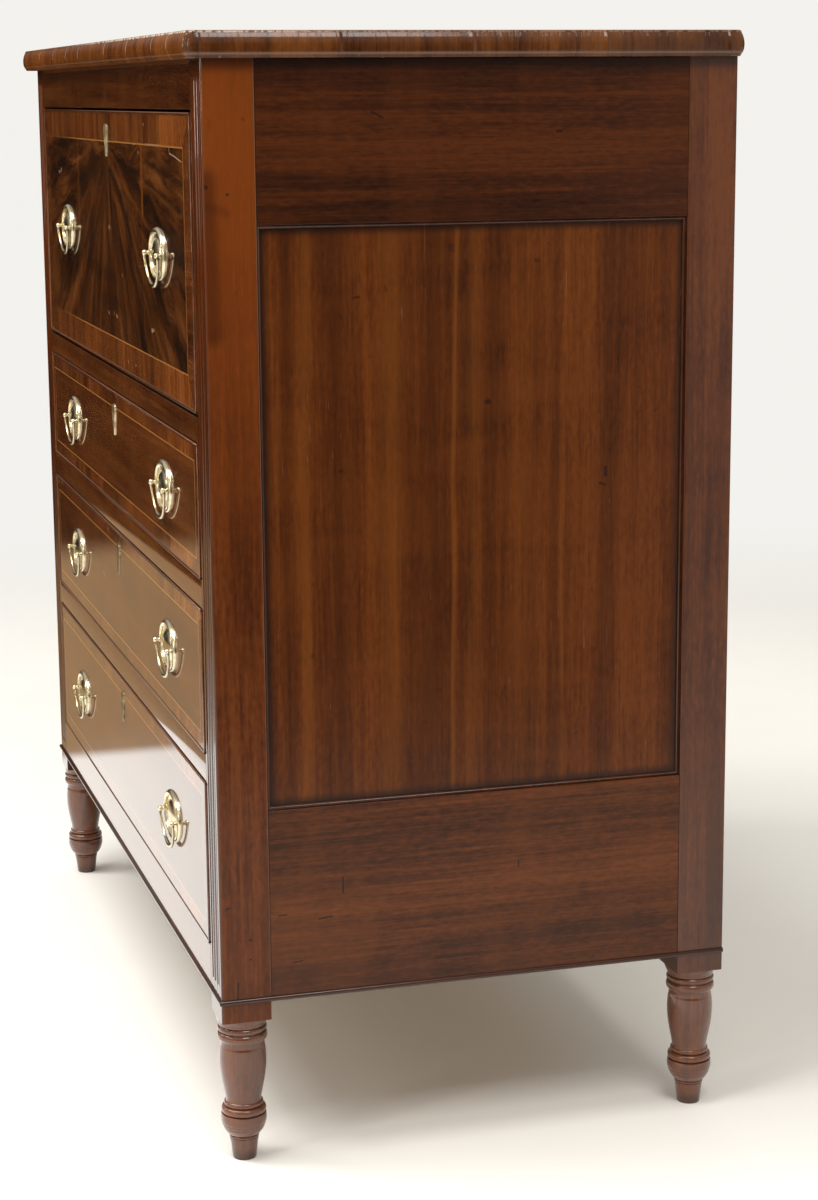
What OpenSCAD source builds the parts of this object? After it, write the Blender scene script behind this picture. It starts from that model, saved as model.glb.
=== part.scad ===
// Butlers chest: a desk drawer with a fall front over three graduated drawers, in a
// frame-and-panel case whose four corner posts run down into turned legs.
// Millimetres. Z is up, the front faces -Y, and the origin is on the floor under the centre.

/* [Case] */
// Width over the outer faces of the posts
case_w = 1086; // [960:2:1200]
// Depth from the front face to the back face of the posts
case_d = 552; // [520:2:620]
// Height of the underside of the case above the floor
base_z = 177; // [165:1:210]
// Side of the square corner posts
post = 52; // [46:1:60]
// Height of the square block left on each post below the case
block_h = 20; // [16:1:34]
// Thickness of the side rails, the frieze rail and the bottom rail
rail_t = 28; // [24:1:32]
// Height of each side's top rail
side_top_h = 158; // [120:2:200]
// Height of each side's bottom rail
side_bottom_h = 202; // [150:2:240]
// Thickness of the side panels
panel_t = 10; // [8:1:12]
// Depth of the side panels' faces below the frame
panel_recess = 6; // [4:1:8]
// Width and thickness of the bead slips round the side panels
slip = 4; // [3:0.5:4]
// Thickness of the back boards
back_t = 9; // [7:1:12]
// Depth of the back boards below the backs of the posts
back_recess = 2; // [0:0.5:6]
// Number of back boards
back_n = 5; // [3:1:8]
// Thickness of the two back rails
back_rail_t = 22; // [18:1:26]
// Height of the two back rails
back_rail_h = 60; // [50:2:80]

/* [Top] */
// Thickness of the top board
top_t = 26; // [22:1:32]
// Overhang of the top past the front of the posts
over_front = 18; // [14:1:30]
// Overhang of the top past the side of the posts
over_side = 14; // [8:1:30]
// Overhang of the top past the back of the posts
over_back = 5; // [2:1:20]
// Radius of the rounded upper edge of the top
top_round = 9; // [5:0.5:12]
// Radius of the rounded lower edge of the top
top_under_round = 4; // [2:0.5:6]
// Radius of the top's corners, seen from above
top_corner = 12; // [8:1:20]

/* [Front rails] */
// Height of the frieze rail over the desk drawer
frieze_h = 48; // [40:1:60]
// Thickness of the blade under the desk drawer
desk_blade_t = 25; // [22:1:32]
// Thickness of the two blades between the lower drawers
blade_t = 28; // [22:1:32]
// Depth of the blades from front to back
blade_d = 62; // [56:1:80]
// Height of the bottom rail
bottom_rail_h = 49; // [44:1:60]
// Height of the bead at the lower edge of the case
bead_h = 5.5; // [4:0.5:7]
// Height of the desk drawer's opening
desk_h = 301; // [290:1:330]
// Height of the upper drawer's opening
upper_h = 140; // [125:1:160]
// Height of the middle drawer's opening
middle_h = 153; // [130:1:180]
// Height of the lower drawer's opening
lower_h = 175; // [140:1:200]

/* [Reeding] */
// Number of reeds on each front post
reed_n = 3; // [2:1:4]
// Width of one reed
reed_w = 12; // [9:0.5:12]
// Depth of the quirks between the reeds
reed_depth = 2.2; // [1.5:0.1:3]
// Distance of the reeds from the post's outer face
reed_margin = 7; // [5:0.5:8]
// Height of the plain stop above and below the reeds
reed_stop = 17; // [12:1:30]

/* [Joints of the frame] */
// Length of the rails' tenons
tenon = 18; // [12:1:20]
// Thickness of the rails' tenons
tenon_t = 10; // [8:1:12]
// Shoulder above and below each tenon
shoulder = 5; // [3:1:7]
// Depth of the side panels' grooves
groove = 8; // [6:1:10]
// Room that panels and back boards have in their grooves
play = 1; // [0.5:0.5:2]
// Glue line between pieces of one group
glue = 0.1; // [0.05:0.05:0.2]

/* [Legs] */
// Height of the foot under the ball
foot_h = 24; // [20:1:32]
// Radius of the foot at the floor
foot_r = 13.5; // [11:0.5:16]
// Radius of the foot at its top
foot_top_r = 15.5; // [13:0.5:18]
// Height of the foot's straight upper part
foot_lip_h = 6; // [3:1:10]
// Height of the ball
ball_h = 34; // [24:1:36]
// Radius of the ball
ball_r = 24; // [20:0.5:25]
// Radius of the vase at its narrow lower end
vase_low_r = 17; // [14:0.5:19]
// Radius of the vase at its widest
vase_r = 25; // [21:0.5:26]
// Height of the vase above its widest place
vase_head_h = 20; // [14:1:28]
// Height of the fillets above the ball and under the rings
fillet_h = 4; // [3:0.5:6]
// Depth of the fillet under the rings below the vase's widest radius
fillet_in = 3.5; // [2:0.5:5]
// Radius of the two rings
ring_r = 25.6; // [22:0.2:26]
// Height of each ring
ring_h = 8; // [6:0.5:10]
// Depth of the quirks beside the rings
ring_in = 2.5; // [1.5:0.5:4]
// Height of the neck above the rings
neck_h = 9; // [4:0.5:10]
// Depth of the neck below the rings' radius
neck_in = 1.6; // [0.5:0.1:3]

/* [Drawers] */
// Gap at each end of a drawer front
end_gap = 1.2; // [0.8:0.1:2]
// Gap above a drawer front
top_gap = 1.6; // [1:0.1:3]
// Gap below a drawer front
bottom_gap = 1; // [0.6:0.1:1.6]
// Running gap between a drawer and its runners
run_gap = 0.3; // [0.2:0.1:0.6]
// Thickness of a drawer front
front_t = 22; // [20:1:26]
// Radius of the cock bead's nose on the drawer fronts
cock_r = 1.5; // [1:0.25:1.5]
// Thickness of a drawer's sides and back
side_t = 10; // [8:1:13]
// Thickness of a drawer's bottom
bottom_t = 7; // [5:1:9]
// Height of a drawer's bottom above the lower edge of its sides
bottom_up = 10; // [8:1:14]
// Length of the lapped dovetails
tail = 14; // [10:1:17]
// Spacing of the dovetails
tail_pitch = 42; // [30:2:60]
// Plain edge of a drawer's sides below the lowest dovetail
tail_up = 4; // [2:1:8]
// Distance of a drawer's sides below the top of its front
side_drop = 6; // [3:1:10]
// Free space between a drawer and the back rails
drawer_stop = 19; // [12:1:40]

/* [Runners] */
// Thickness of the runners
runner_t = 20; // [16:1:21]
// Width of the runners' bearing inside the post's inner face
runner_w = 30; // [24:1:40]
// Height of the guides on the runners
guide_h = 20; // [14:1:30]

/* [Desk drawer] */
// Thickness of the desk drawer's sides
desk_side_t = 16; // [14:1:20]
// Thickness of the writing board
board_t = 18; // [14:1:18]
// Thickness of the desk drawer's back
desk_back_t = 12; // [10:1:16]
// Gap between the desk drawer's sides and the kickers above them
desk_top_gap = 4; // [3:1:8]

/* [Fall front] */
// Thickness of the fall
fall_t = 19; // [18:0.5:21]
// Height of the pivot above the fall's lower edge
heel = 13; // [12.5:0.5:13.5]
// Gap above the fall
fall_top_gap = 2.6; // [1.6:0.1:3]
// Gap under the fall that lets its heel swing
fall_gap = 4; // [4:0.2:5]
// Gap between the swinging heel and the writing board
heel_gap = 0.6; // [0.4:0.1:1]
// Thickness of the brass pivot plates
plate_t = 3; // [2.5:0.5:4]
// Half of the height of the brass pivot plates
plate_r = 6; // [5:0.5:6.5]
// Length of the pivot plates behind the pivot
plate_l = 60; // [45:1:80]
// Diameter of the pivot pins
pin_d = 5; // [4:0.5:6]
// Length of the pivot pins on each side of the plate
pin_l = 8; // [6:1:9]
// Radial clearance of the pivot pins
pin_gap = 0.05; // [0.03:0.01:0.1]
// Clearance round a pivot plate in its slot
slot_gap = 0.4; // [0.3:0.1:0.6]
// Outer radius of the quadrant stays
stay_r = 150; // [120:2:180]
// Width of the quadrant stays
stay_w = 12; // [9:1:16]
// Thickness of the quadrant stays
stay_t = 3; // [2:0.5:4]

/* [Pigeonholes] */
// Distance of the pigeonholes behind the fall's inner face
nest_back = 201; // [190:1:230]
// Height of the pigeonhole case
nest_h = 256; // [240:2:262]
// Thickness of its boards
nest_t = 6; // [5:0.5:8]
// Height of the openings for the small drawers
small_h = 62; // [50:1:80]
// Number of pigeonholes
hole_n = 6; // [4:1:8]
// Height of the pigeonholes' arched valances
valance_h = 26; // [20:1:34]
// Thickness of the valances
valance_t = 5; // [4:0.5:7]
// Distance of the valances behind the front edges of the dividers
valance_back = 2; // [1:0.5:5]
// Running gap round a small drawer
small_gap = 0.5; // [0.4:0.1:0.8]
// Thickness of a small drawer's front
small_front_t = 10; // [8:1:12]
// Thickness of a small drawer's sides and back
small_side_t = 6; // [5:0.5:8]
// Thickness of a small drawer's bottom
small_bottom_t = 4; // [3:0.5:5]
// Distance of a small drawer's sides and back below the top of its front
small_drop = 3; // [2:0.5:6]
// Free space behind a small drawer
small_stop = 1.5; // [1:0.5:4]
// Radius of the small drawers' knobs
knob_r = 7; // [5:0.5:9]

/* [Pulls] */
// Half of the width of the oval pull plates
oval_a = 40; // [38:1:48]
// Half of the height of the oval pull plates
oval_b = 28; // [26:0.5:30]
// Radius of the ends of the oval
oval_end = 20; // [16:0.5:22]
// Width of the raised rim of the pull plates
rim_w = 6; // [5.5:0.5:7]
// Height of the raised rim
rim_h = 4; // [2.5:0.25:4.5]
// Thickness of the sunk field of the pull plates
field_h = 1.2; // [0.8:0.1:1.6]
// Height of the domed middle of the pull plates
dome_h = 5; // [3:0.25:5.5]
// Distance of each pull from the middle of its drawer
pull_x = 306; // [250:2:360]
// Distance of the pull posts from the middle of the pull
post_x = 33; // [31:0.5:34]
// Distance of the bail's axis from the drawer front
bail_out = 8.5; // [8:0.25:11]
// Radius of the balls on the pull posts
knuckle_r = 3.2; // [3:0.1:4]
// Radius of the pull posts' stems
stem_r = 2; // [1.6:0.1:2.4]
// Radius of the bails
bail_r = 1.9; // [1.6:0.1:2.3]
// Depth of the bails' axis line below their hooks
bail_drop = 33; // [28:0.5:36]
// Angle by which the bails lean towards the fronts
bail_lean = 4; // [0:0.5:6]
// Radius of the hooks at the bails' ends
hook_r = 1.2; // [1:0.1:1.4]
// Radial clearance of the bails' hooks
hook_gap = 0.09; // [0.04:0.01:0.1]
// Gap between the bails and the balls that carry them
bail_gap = 0.3; // [0.2:0.05:0.6]
// Radius of the shanks through the drawer fronts
shank_r = 1.8; // [1.6:0.1:2.4]
// Radius of the nuts on the shanks
nut_r = 5; // [4:0.5:6.5]
// Thickness of the nuts
nut_t = 3; // [2:0.5:4]
// Wood left behind the pulls' shanks in the fall
shank_stop = 5; // [4:0.5:8]

/* [Locks] */
// Width of the lock cases
lock_w = 60; // [50:1:75]
// Height of the lock cases
lock_h = 40; // [36:1:46]
// Thickness of the lock cases
lock_t = 11; // [10:0.5:12]
// Width of the lock bolts
bolt_w = 22; // [16:1:28]
// Thickness of the lock bolts
bolt_t = 5; // [4:0.5:6]
// Height of the lock bolts
bolt_h = 18; // [15:1:19]
// Travel of the lock bolts
bolt_travel = 8; // [6:0.5:8]
// Clearance round the lock bolts
bolt_gap = 0.3; // [0.2:0.05:0.4]
// Clearance round the bolts in the mortises of the rails
mortise_gap = 2; // [1:0.5:3]
// Distance of the bolts' upper ends below the top of the drawer front at rest
bolt_down = 0.2; // [0.1:0.1:0.5]
// Radius of the keyholes' round part
key_r = 2.6; // [2:0.1:3]
// Length of the keyholes' slot
key_slot = 9; // [7:0.5:11]
// Depth of the keyholes in the lock cases
key_depth = 4; // [3:0.5:5]
// Distance of the keyholes below the top of the drawer front
key_down = 31; // [29:1:33]
// Height of the escutcheons
esc_h = 37; // [32:1:40]
// Width of the escutcheons
esc_w = 17; // [14:1:20]
// Thickness of the escutcheons
esc_t = 1.5; // [1:0.25:2]

/* [Hidden] */

$fn = 48;
// A small length by which a cut runs past the surface that it opens
past = 1;

// Levels, each the lower edge of an opening or a rail
lower_z = base_z + bottom_rail_h;
lower_blade_z = lower_z + lower_h;
middle_z = lower_blade_z + blade_t;
middle_blade_z = middle_z + middle_h;
upper_z = middle_blade_z + blade_t;
upper_blade_z = upper_z + upper_h;
desk_z = upper_blade_z + desk_blade_t;
frieze_z = desk_z + desk_h;
case_top = frieze_z + frieze_h;

// Depths are measured from the front face of the posts, which lies at y = front_y
top_d = over_front + case_d + over_back;
front_y = over_front - top_d / 2;
half_w = case_w / 2;
open_half = half_w - post;
back_face = case_d - back_t - back_recess;
rail_back = back_face - back_rail_t;
run_back = case_d - post;

// The fall's pivot, measured from the front face and from the floor
pivot_y = fall_t / 2;
pivot_z = desk_z + fall_gap + heel;
board_top = pivot_z + fall_t / 2;
heel_r = sqrt(pow(fall_t / 2, 2) + pow(heel, 2));
fall_half = open_half - end_gap;
desk_inner = fall_half - desk_side_t;
desk_top = frieze_z - desk_top_gap;
drawer_end = rail_back - drawer_stop;
nest_y = fall_t + nest_back;
nest_end = drawer_end - desk_back_t;
nest_half = desk_inner - glue;
shelf_z = board_top + nest_t + small_h;
small_w = (2 * nest_half - 4 * nest_t) / 3;
hole_pitch = (2 * nest_half - nest_t) / hole_n;

// The fall's edges and the middle of its pulls
fall_low = desk_z + fall_gap;
fall_high = frieze_z - fall_top_gap;
fall_pull_z = (desk_z + frieze_z) / 2 + 1;

// A quarter turn
quarter = 90;

// The following colours are those of the wood and brass in daylight
mahogany = "#6b3a1c";
mahogany_dark = "#4a2412";
mahogany_veneer = "#7c4420";
secondary_wood = "#a67c4e";
brass = "#c9ab62";
brass_dull = "#a8925c";

// Moves what follows so that y = 0 is the front face of the case
module at_front() {
    translate([0, front_y, 0]) children();
}

// Draws its children, and again mirrored from right to left
module both_sides() {
    children();
    mirror([1, 0, 0]) children();
}

// A box from one corner to the other
module span(from, to) {
    translate(from) cube(to - from);
}

// Points of a round bulge in an outline, from (r, z0) to (r, z1), swelling by depth
function bulge(z0, z1, r, depth, steps = 10) =
    [for (i = [0:steps]) let (a = 180 * i / steps)
        [r + depth * sin(a), (z0 + z1) / 2 - (z1 - z0) / 2 * cos(a)]];

// Points of a smooth S-shaped taper from (r0, z0) to (r1, z1)
function taper(z0, z1, r0, r1, steps = 10) =
    [for (i = [0:steps]) let (s = i / steps)
        [r0 + (r1 - r0) * (3 * s * s - 2 * s * s * s), z0 + (z1 - z0) * s]];

// The turned part of a leg, standing on the floor on its own axis
module turned_leg() {
    leg_top = base_z - block_h;
    neck_low = leg_top - neck_h;
    ring_low = neck_low - 2 * ring_h;
    ball_top = foot_h + ball_h;
    vase_low = ball_top + fillet_h;
    vase_top = ring_low - fillet_h;
    vase_wide = vase_top - vase_head_h;
    fillet_r = vase_r - fillet_in;
    lip = 1;
    collar_r = vase_low_r + 2;
    head_in = 1.5;
    outline = concat(
        [[0, 0], [foot_r, 0], [foot_top_r, foot_h - foot_lip_h], [foot_top_r, foot_h]],
        bulge(foot_h, ball_top, foot_top_r + lip, ball_r - foot_top_r - lip),
        [[collar_r, ball_top], [collar_r, vase_low]],
        taper(vase_low, vase_wide, vase_low_r, vase_r),
        bulge(vase_wide, vase_top, vase_r, -head_in, 6),
        [[fillet_r, vase_top], [fillet_r, ring_low]],
        bulge(ring_low, ring_low + ring_h, ring_r - ring_in, ring_in, 8),
        bulge(ring_low + ring_h, neck_low, ring_r - ring_in, ring_in, 8),
        [[ring_r - neck_in, neck_low], [ring_r - neck_in, leg_top], [0, leg_top]]
    );
    rotate_extrude() polygon(outline);
}

// A square post with its leg, its outer corner at the right front
module post_blank() {
    span([open_half, 0, base_z - block_h], [half_w, post, case_top]);
    translate([half_w - post / 2, post / 2, 0]) turned_leg();
}

// Grooves that leave the reeds standing, on the front face of a post
module reed_grooves() {
    low = base_z + reed_stop;
    high = case_top - reed_stop;
    field = reed_n * reed_w;
    radius = (pow(reed_w / 2, 2) + pow(reed_depth, 2)) / (2 * reed_depth);
    translate([half_w - reed_margin - field, 0, low])
        linear_extrude(high - low) difference() {
            translate([0, -past]) square([field, reed_depth + past]);
            for (i = [0:reed_n - 1])
                translate([reed_w * (i + 0.5), radius]) circle(radius, $fn = 96);
        }
}

// The tenons of one side's rails, shared by the rails and the posts' mortises
module side_tenons(y0, y1) {
    x1 = half_w - (rail_t - tenon_t) / 2;
    span([x1 - tenon_t, y0, case_top - side_top_h + shoulder], [x1, y1, case_top - shoulder]);
    span([x1 - tenon_t, y0, base_z + shoulder], [x1, y1, base_z + side_bottom_h - shoulder]);
}

// The tenons of one front rail from z0 to z1 and y0 to y1, shared with the posts' mortises
module front_tenon(y0, y1, z0, z1) {
    span([open_half, y0, z0 + shoulder], [open_half + tenon, y1, z1 - shoulder]);
}

module frieze_tenon() {
    middle = rail_t / 2;
    front_tenon(middle - tenon_t / 2, middle + tenon_t / 2, frieze_z, case_top);
}

module bottom_tenon() {
    middle = rail_t / 2;
    front_tenon(middle - tenon_t / 2, middle + tenon_t / 2, base_z, lower_z);
}

module blade_tenon(z0, z1) {
    front_tenon(tenon_t, post - tenon_t, z0, z1);
}

module front_tenons() {
    frieze_tenon();
    blade_tenon(upper_blade_z, desk_z);
    blade_tenon(middle_blade_z, upper_z);
    blade_tenon(lower_blade_z, middle_z);
    bottom_tenon();
}

module back_rail_tenons(y0, y1) {
    for (z = [base_z, case_top - back_rail_h])
        front_tenon(y0, y1, z, z + back_rail_h);
}

// The groove in a post or rail that holds a side panel
module panel_groove(from, to) {
    x1 = half_w - panel_recess;
    span([x1 - panel_t, from[0], from[1]], [x1, to[0], to[1]]);
}

module front_post() {
    color(mahogany_veneer) at_front() difference() {
        post_blank();
        reed_grooves();
        side_tenons(post - tenon, post + past);
        front_tenons();
        panel_groove([post - groove, base_z + side_bottom_h - groove],
                     [post + past, case_top - side_top_h + groove]);
    }
}

module back_post() {
    color(mahogany) at_front() difference() {
        translate([0, case_d - post, 0]) post_blank();
        side_tenons(case_d - post - past, case_d - post + tenon);
        back_rail_tenons(rail_back + shoulder, back_face - shoulder);
        panel_groove([case_d - post - past, base_z + side_bottom_h - groove],
                     [case_d - post + groove, case_top - side_top_h + groove]);
        span([open_half - past, back_face, base_z], [open_half + groove, case_d + past, case_top + past]);
    }
}

module front_post_right() { front_post(); }
module front_post_left() { mirror([1, 0, 0]) front_post(); }
module back_post_right() { back_post(); }
module back_post_left() { mirror([1, 0, 0]) back_post(); }

// One side rail between the posts from z0 to z1, with its tenons
module side_rail(z0, z1) {
    span([half_w - rail_t, post, z0], [half_w, case_d - post, z1]);
    intersection() {
        side_tenons(post - tenon, case_d - post + tenon);
        span([half_w - rail_t, post - tenon, z0], [half_w, case_d - post + tenon, z1]);
    }
}

module side_top_rail_right() {
    color(mahogany_dark) at_front() difference() {
        side_rail(case_top - side_top_h, case_top);
        panel_groove([post - tenon - past, case_top - side_top_h - past],
                     [case_d - post + tenon + past, case_top - side_top_h + groove]);
    }
}
module side_top_rail_left() { mirror([1, 0, 0]) side_top_rail_right(); }

module side_bottom_rail_right() {
    color(mahogany_dark) at_front() difference() {
        side_rail(base_z, base_z + side_bottom_h);
        panel_groove([post - tenon - past, base_z + side_bottom_h - groove],
                     [case_d - post + tenon + past, base_z + side_bottom_h + past]);
    }
}
module side_bottom_rail_left() { mirror([1, 0, 0]) side_bottom_rail_right(); }

// The panel stands on the floor of its groove and has room to move on its other edges
module side_panel_right() {
    x1 = half_w - panel_recess;
    color(mahogany) at_front() span(
        [x1 - panel_t, post - groove + play, base_z + side_bottom_h - groove],
        [x1, case_d - post + groove - play, case_top - side_top_h + groove - play]);
}
module side_panel_left() { mirror([1, 0, 0]) side_panel_right(); }

// Four slips with a rounded inner edge round each recessed panel
module panel_beads() {
    x0 = half_w - panel_recess;
    y0 = post;
    y1 = case_d - post;
    z0 = base_z + side_bottom_h;
    z1 = case_top - side_top_h;
    color(mahogany_dark) at_front() both_sides() {
        span([x0, y0, z0], [x0 + slip, y0 + slip, z1]);
        span([x0, y1 - slip, z0], [x0 + slip, y1, z1]);
        span([x0, y0 + slip + glue, z0], [x0 + slip, y1 - slip - glue, z0 + slip]);
        span([x0, y0 + slip + glue, z1 - slip], [x0 + slip, y1 - slip - glue, z1]);
    }
}

// A board profile of width w, rounded above by r_up and below by r_low
module edge_profile(w) {
    r_up = top_round;
    r_low = top_under_round;
    union() {
        translate([-w / 2, r_low]) square([w, top_t - r_low - r_up]);
        translate([-w / 2 + r_low, 0]) square([w - 2 * r_low, top_t / 2]);
        translate([-w / 2 + r_up, top_t / 2]) square([w - 2 * r_up, top_t / 2]);
        for (s = [-1, 1]) {
            translate([s * (w / 2 - r_low), r_low]) circle(r_low);
            translate([s * (w / 2 - r_up), top_t - r_up]) circle(r_up);
        }
    }
}

module top_board() {
    w = case_w + 2 * over_side;
    color(mahogany_veneer) translate([0, 0, case_top]) intersection() {
        translate([0, top_d / 2, 0]) rotate([90, 0, 0]) linear_extrude(top_d) edge_profile(w);
        translate([-w / 2, 0, 0]) rotate([90, 0, 90]) linear_extrude(w) edge_profile(top_d);
        linear_extrude(top_t) union() {
            square([w - 2 * top_corner, top_d], center = true);
            square([w, top_d - 2 * top_corner], center = true);
            for (x = [-1, 1], y = [-1, 1])
                translate([x * (w / 2 - top_corner), y * (top_d / 2 - top_corner)])
                    circle(top_corner);
        }
    }
}

// A mortise over the middle of a drawer front, which takes its lock bolt
module bolt_mortise(z, y) {
    w = bolt_w + 2 * mortise_gap;
    d = bolt_t + 2 * mortise_gap;
    span([-w / 2, y - d / 2, z - past], [w / 2, y + d / 2, z + bolt_travel]);
}

module frieze_rail() {
    color(mahogany) at_front() difference() {
        union() {
            span([-open_half, 0, frieze_z], [open_half, rail_t, case_top]);
            both_sides() frieze_tenon();
        }
        bolt_mortise(frieze_z, fall_t - lock_t / 2);
    }
}

module blade(z0, z1) {
    color(mahogany) at_front() difference() {
        union() {
            span([-open_half, 0, z0], [open_half, blade_d, z1]);
            both_sides() blade_tenon(z0, z1);
        }
        bolt_mortise(z0, front_t - lock_t / 2);
    }
}
module upper_blade() { blade(upper_blade_z, desk_z); }
module middle_blade() { blade(middle_blade_z, upper_z); }
module lower_blade() { blade(lower_blade_z, middle_z); }

module bottom_rail() {
    color(mahogany) at_front() {
        span([-open_half, 0, base_z], [open_half, rail_t, lower_z]);
        both_sides() bottom_tenon();
    }
}

// A half-round strip of length l along X, planted on the plane y = 0 and facing -Y
module half_round(l) {
    r = bead_h / 2;
    translate([0, 0, r]) intersection() {
        translate([-l / 2, 0, 0]) rotate([0, quarter, 0]) cylinder(h = l, r = r);
        translate([-l / 2, -r, -r]) cube([l, r, bead_h]);
    }
}

// A wedge that leaves a 45 degree mitre at the right front corner
module mitre_keep(side) {
    big = case_w;
    translate([half_w, 0, base_z - past]) linear_extrude(bead_h + 2 * past)
        polygon(side == "front" ? [[0, 0], [big, -big], [-big, -big], [-big, 0]]
                                : [[glue, 0], [big, -big + glue], [big, big], [glue, big]]);
}

module base_bead() {
    color(mahogany_dark) at_front() {
        intersection() {
            translate([0, 0, base_z]) half_round(case_w + bead_h);
            mitre_keep("front");
            mirror([1, 0, 0]) mitre_keep("front");
        }
        both_sides() intersection() {
            translate([half_w, case_d / 2, base_z]) rotate([0, 0, quarter]) half_round(case_d + bead_h);
            mitre_keep("side");
            span([0, -bead_h, base_z], [case_w, case_d, base_z + bead_h]);
        }
    }
}

// One runner on the right, its bearing face at height z and its front end at y0
module runner(z, y0) {
    span([open_half - runner_w, y0, z - runner_t], [half_w - rail_t, run_back, z]);
}

module drawer_runners() {
    color(secondary_wood) at_front() both_sides() {
        runner(desk_z, blade_d);
        runner(upper_z, blade_d);
        runner(middle_z, blade_d);
        difference() {
            runner(lower_z, rail_t);
            span([open_half, 0, base_z], [half_w, post, lower_z + past]);
        }
    }
}

// One guide on a runner, beside the drawer's path, between the front and back posts
module guide(z) {
    span([open_half, post, z], [half_w - rail_t, run_back, z + guide_h]);
}

module drawer_guides() {
    color(secondary_wood) at_front() both_sides() {
        for (z = [lower_z, middle_z, upper_z, desk_z]) guide(z);
        span([open_half - runner_w, post, frieze_z], [half_w - rail_t, run_back, frieze_z + runner_t]);
    }
}

module back_rails() {
    color(secondary_wood) at_front() {
        for (z = [base_z, case_top - back_rail_h])
            span([-open_half, rail_back, z], [open_half, back_face, z + back_rail_h]);
        both_sides() back_rail_tenons(rail_back + shoulder, back_face - shoulder);
    }
}

module back_boards() {
    total = 2 * (open_half + groove - play);
    w = total / back_n;
    color(secondary_wood) at_front()
        for (i = [0:back_n - 1])
            span([-total / 2 + i * w + glue, back_face, base_z],
                 [-total / 2 + (i + 1) * w - glue, back_face + back_t, case_top]);
}

// The slot in the fall in which a pivot plate swings, on the plane of the pivot
module plate_slot() {
    r = plate_r + slot_gap;
    deep = fall_t;
    rotate([quarter, 0, quarter]) linear_extrude(plate_t + 2 * slot_gap, center = true) {
        circle(r);
        translate([0, -deep]) square([deep, deep + r]);
        translate([-r, -deep]) square([2 * r, deep]);
    }
}

// The middle of the right pivot plate, across the chest
function plate_x() = desk_inner + plate_t / 2;

module pivot_bores() {
    translate([plate_x(), pivot_y, pivot_z]) rotate([0, quarter, 0])
        cylinder(h = plate_t + 2 * pin_l + 2 * past, d = pin_d + 2 * pin_gap, center = true);
}

module pivot_plate_solid() {
    translate([desk_inner, pivot_y, pivot_z]) {
        rotate([0, quarter, 0]) cylinder(h = plate_t, r = plate_r);
        span([0, 0, -plate_r], [plate_t, plate_l, plate_r]);
    }
}

module pivot_plates() {
    color(brass) at_front() both_sides() {
        pivot_plate_solid();
        translate([plate_x(), pivot_y, pivot_z]) rotate([0, quarter, 0])
            cylinder(h = plate_t + 2 * pin_l, d = pin_d, center = true);
    }
}

// The round way in which the fall's heel swings
module heel_cove() {
    translate([-case_w / 2, pivot_y, pivot_z]) rotate([0, quarter, 0])
        cylinder(h = case_w, r = heel_r + heel_gap, $fn = 96);
}

// The writing board with its coved front edge
module desk_board_solid() {
    difference() {
        span([-desk_inner - side_t / 2, pivot_y, board_top - board_t],
             [desk_inner + side_t / 2, drawer_end, board_top]);
        heel_cove();
        span([-case_w / 2, -past, desk_z], [case_w / 2, pivot_y + heel_r * 0.8, frieze_z]);
        both_sides() pivot_plate_solid();
    }
}

module desk_sides() {
    color(secondary_wood) at_front() both_sides() difference() {
        span([desk_inner, fall_t + heel_gap, desk_z + run_gap], [fall_half, drawer_end, desk_top]);
        span([0, 0, board_top - board_t], [desk_inner + side_t / 2, drawer_end + past, board_top]);
        span([0, 0, desk_z], [half_w, pivot_y + heel_r + heel_gap, pivot_z]);
        heel_cove();
        pivot_plate_solid();
    }
}

module desk_board() {
    color(mahogany) at_front() desk_board_solid();
}

module desk_back() {
    color(secondary_wood) at_front()
        span([-desk_inner, nest_end, board_top], [desk_inner, drawer_end, desk_top]);
}

// Where the small drawers' openings begin, counted from the left
function small_x(i) = -nest_half + nest_t + i * (small_w + nest_t);

module pigeonhole_case() {
    top_z = board_top + nest_h;
    color(mahogany_veneer) at_front() {
        span([-nest_half, nest_y, board_top], [nest_half, nest_end, board_top + nest_t]);
        span([-nest_half + nest_t, nest_y, shelf_z], [nest_half - nest_t, nest_end, shelf_z + nest_t]);
        span([-nest_half, nest_y, top_z - nest_t], [nest_half, nest_end, top_z]);
        both_sides() span([nest_half - nest_t, nest_y, board_top], [nest_half, nest_end, top_z]);
    }
}

module pigeonhole_dividers() {
    top_z = board_top + nest_h - nest_t;
    color(mahogany_veneer) at_front() {
        for (i = [1:2]) translate([small_x(i) - nest_t, 0, 0])
            span([0, nest_y, board_top + nest_t], [nest_t, nest_end, shelf_z]);
        for (i = [1:hole_n - 1]) translate([-nest_half + i * hole_pitch, 0, 0])
            span([0, nest_y, shelf_z + nest_t], [nest_t, nest_end, top_z]);
    }
}

// One valance for each pigeonhole, its lower edge cut to a round arch
module pigeonhole_valances() {
    top_z = board_top + nest_h - nest_t;
    w = hole_pitch - nest_t;
    y = nest_y + valance_back + valance_t;
    rise = valance_h * 0.6;
    radius = (pow(w / 2, 2) + pow(rise, 2)) / (2 * rise);
    color(mahogany_veneer) at_front()
        for (i = [0:hole_n - 1])
            translate([-nest_half + nest_t / 2 + (i + 0.5) * hole_pitch, y, top_z])
                rotate([quarter, 0, 0]) linear_extrude(valance_t) difference() {
                    translate([-w / 2, -valance_h]) square([w, valance_h]);
                    translate([0, rise - valance_h - radius]) circle(radius, $fn = 96);
                }
}

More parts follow.
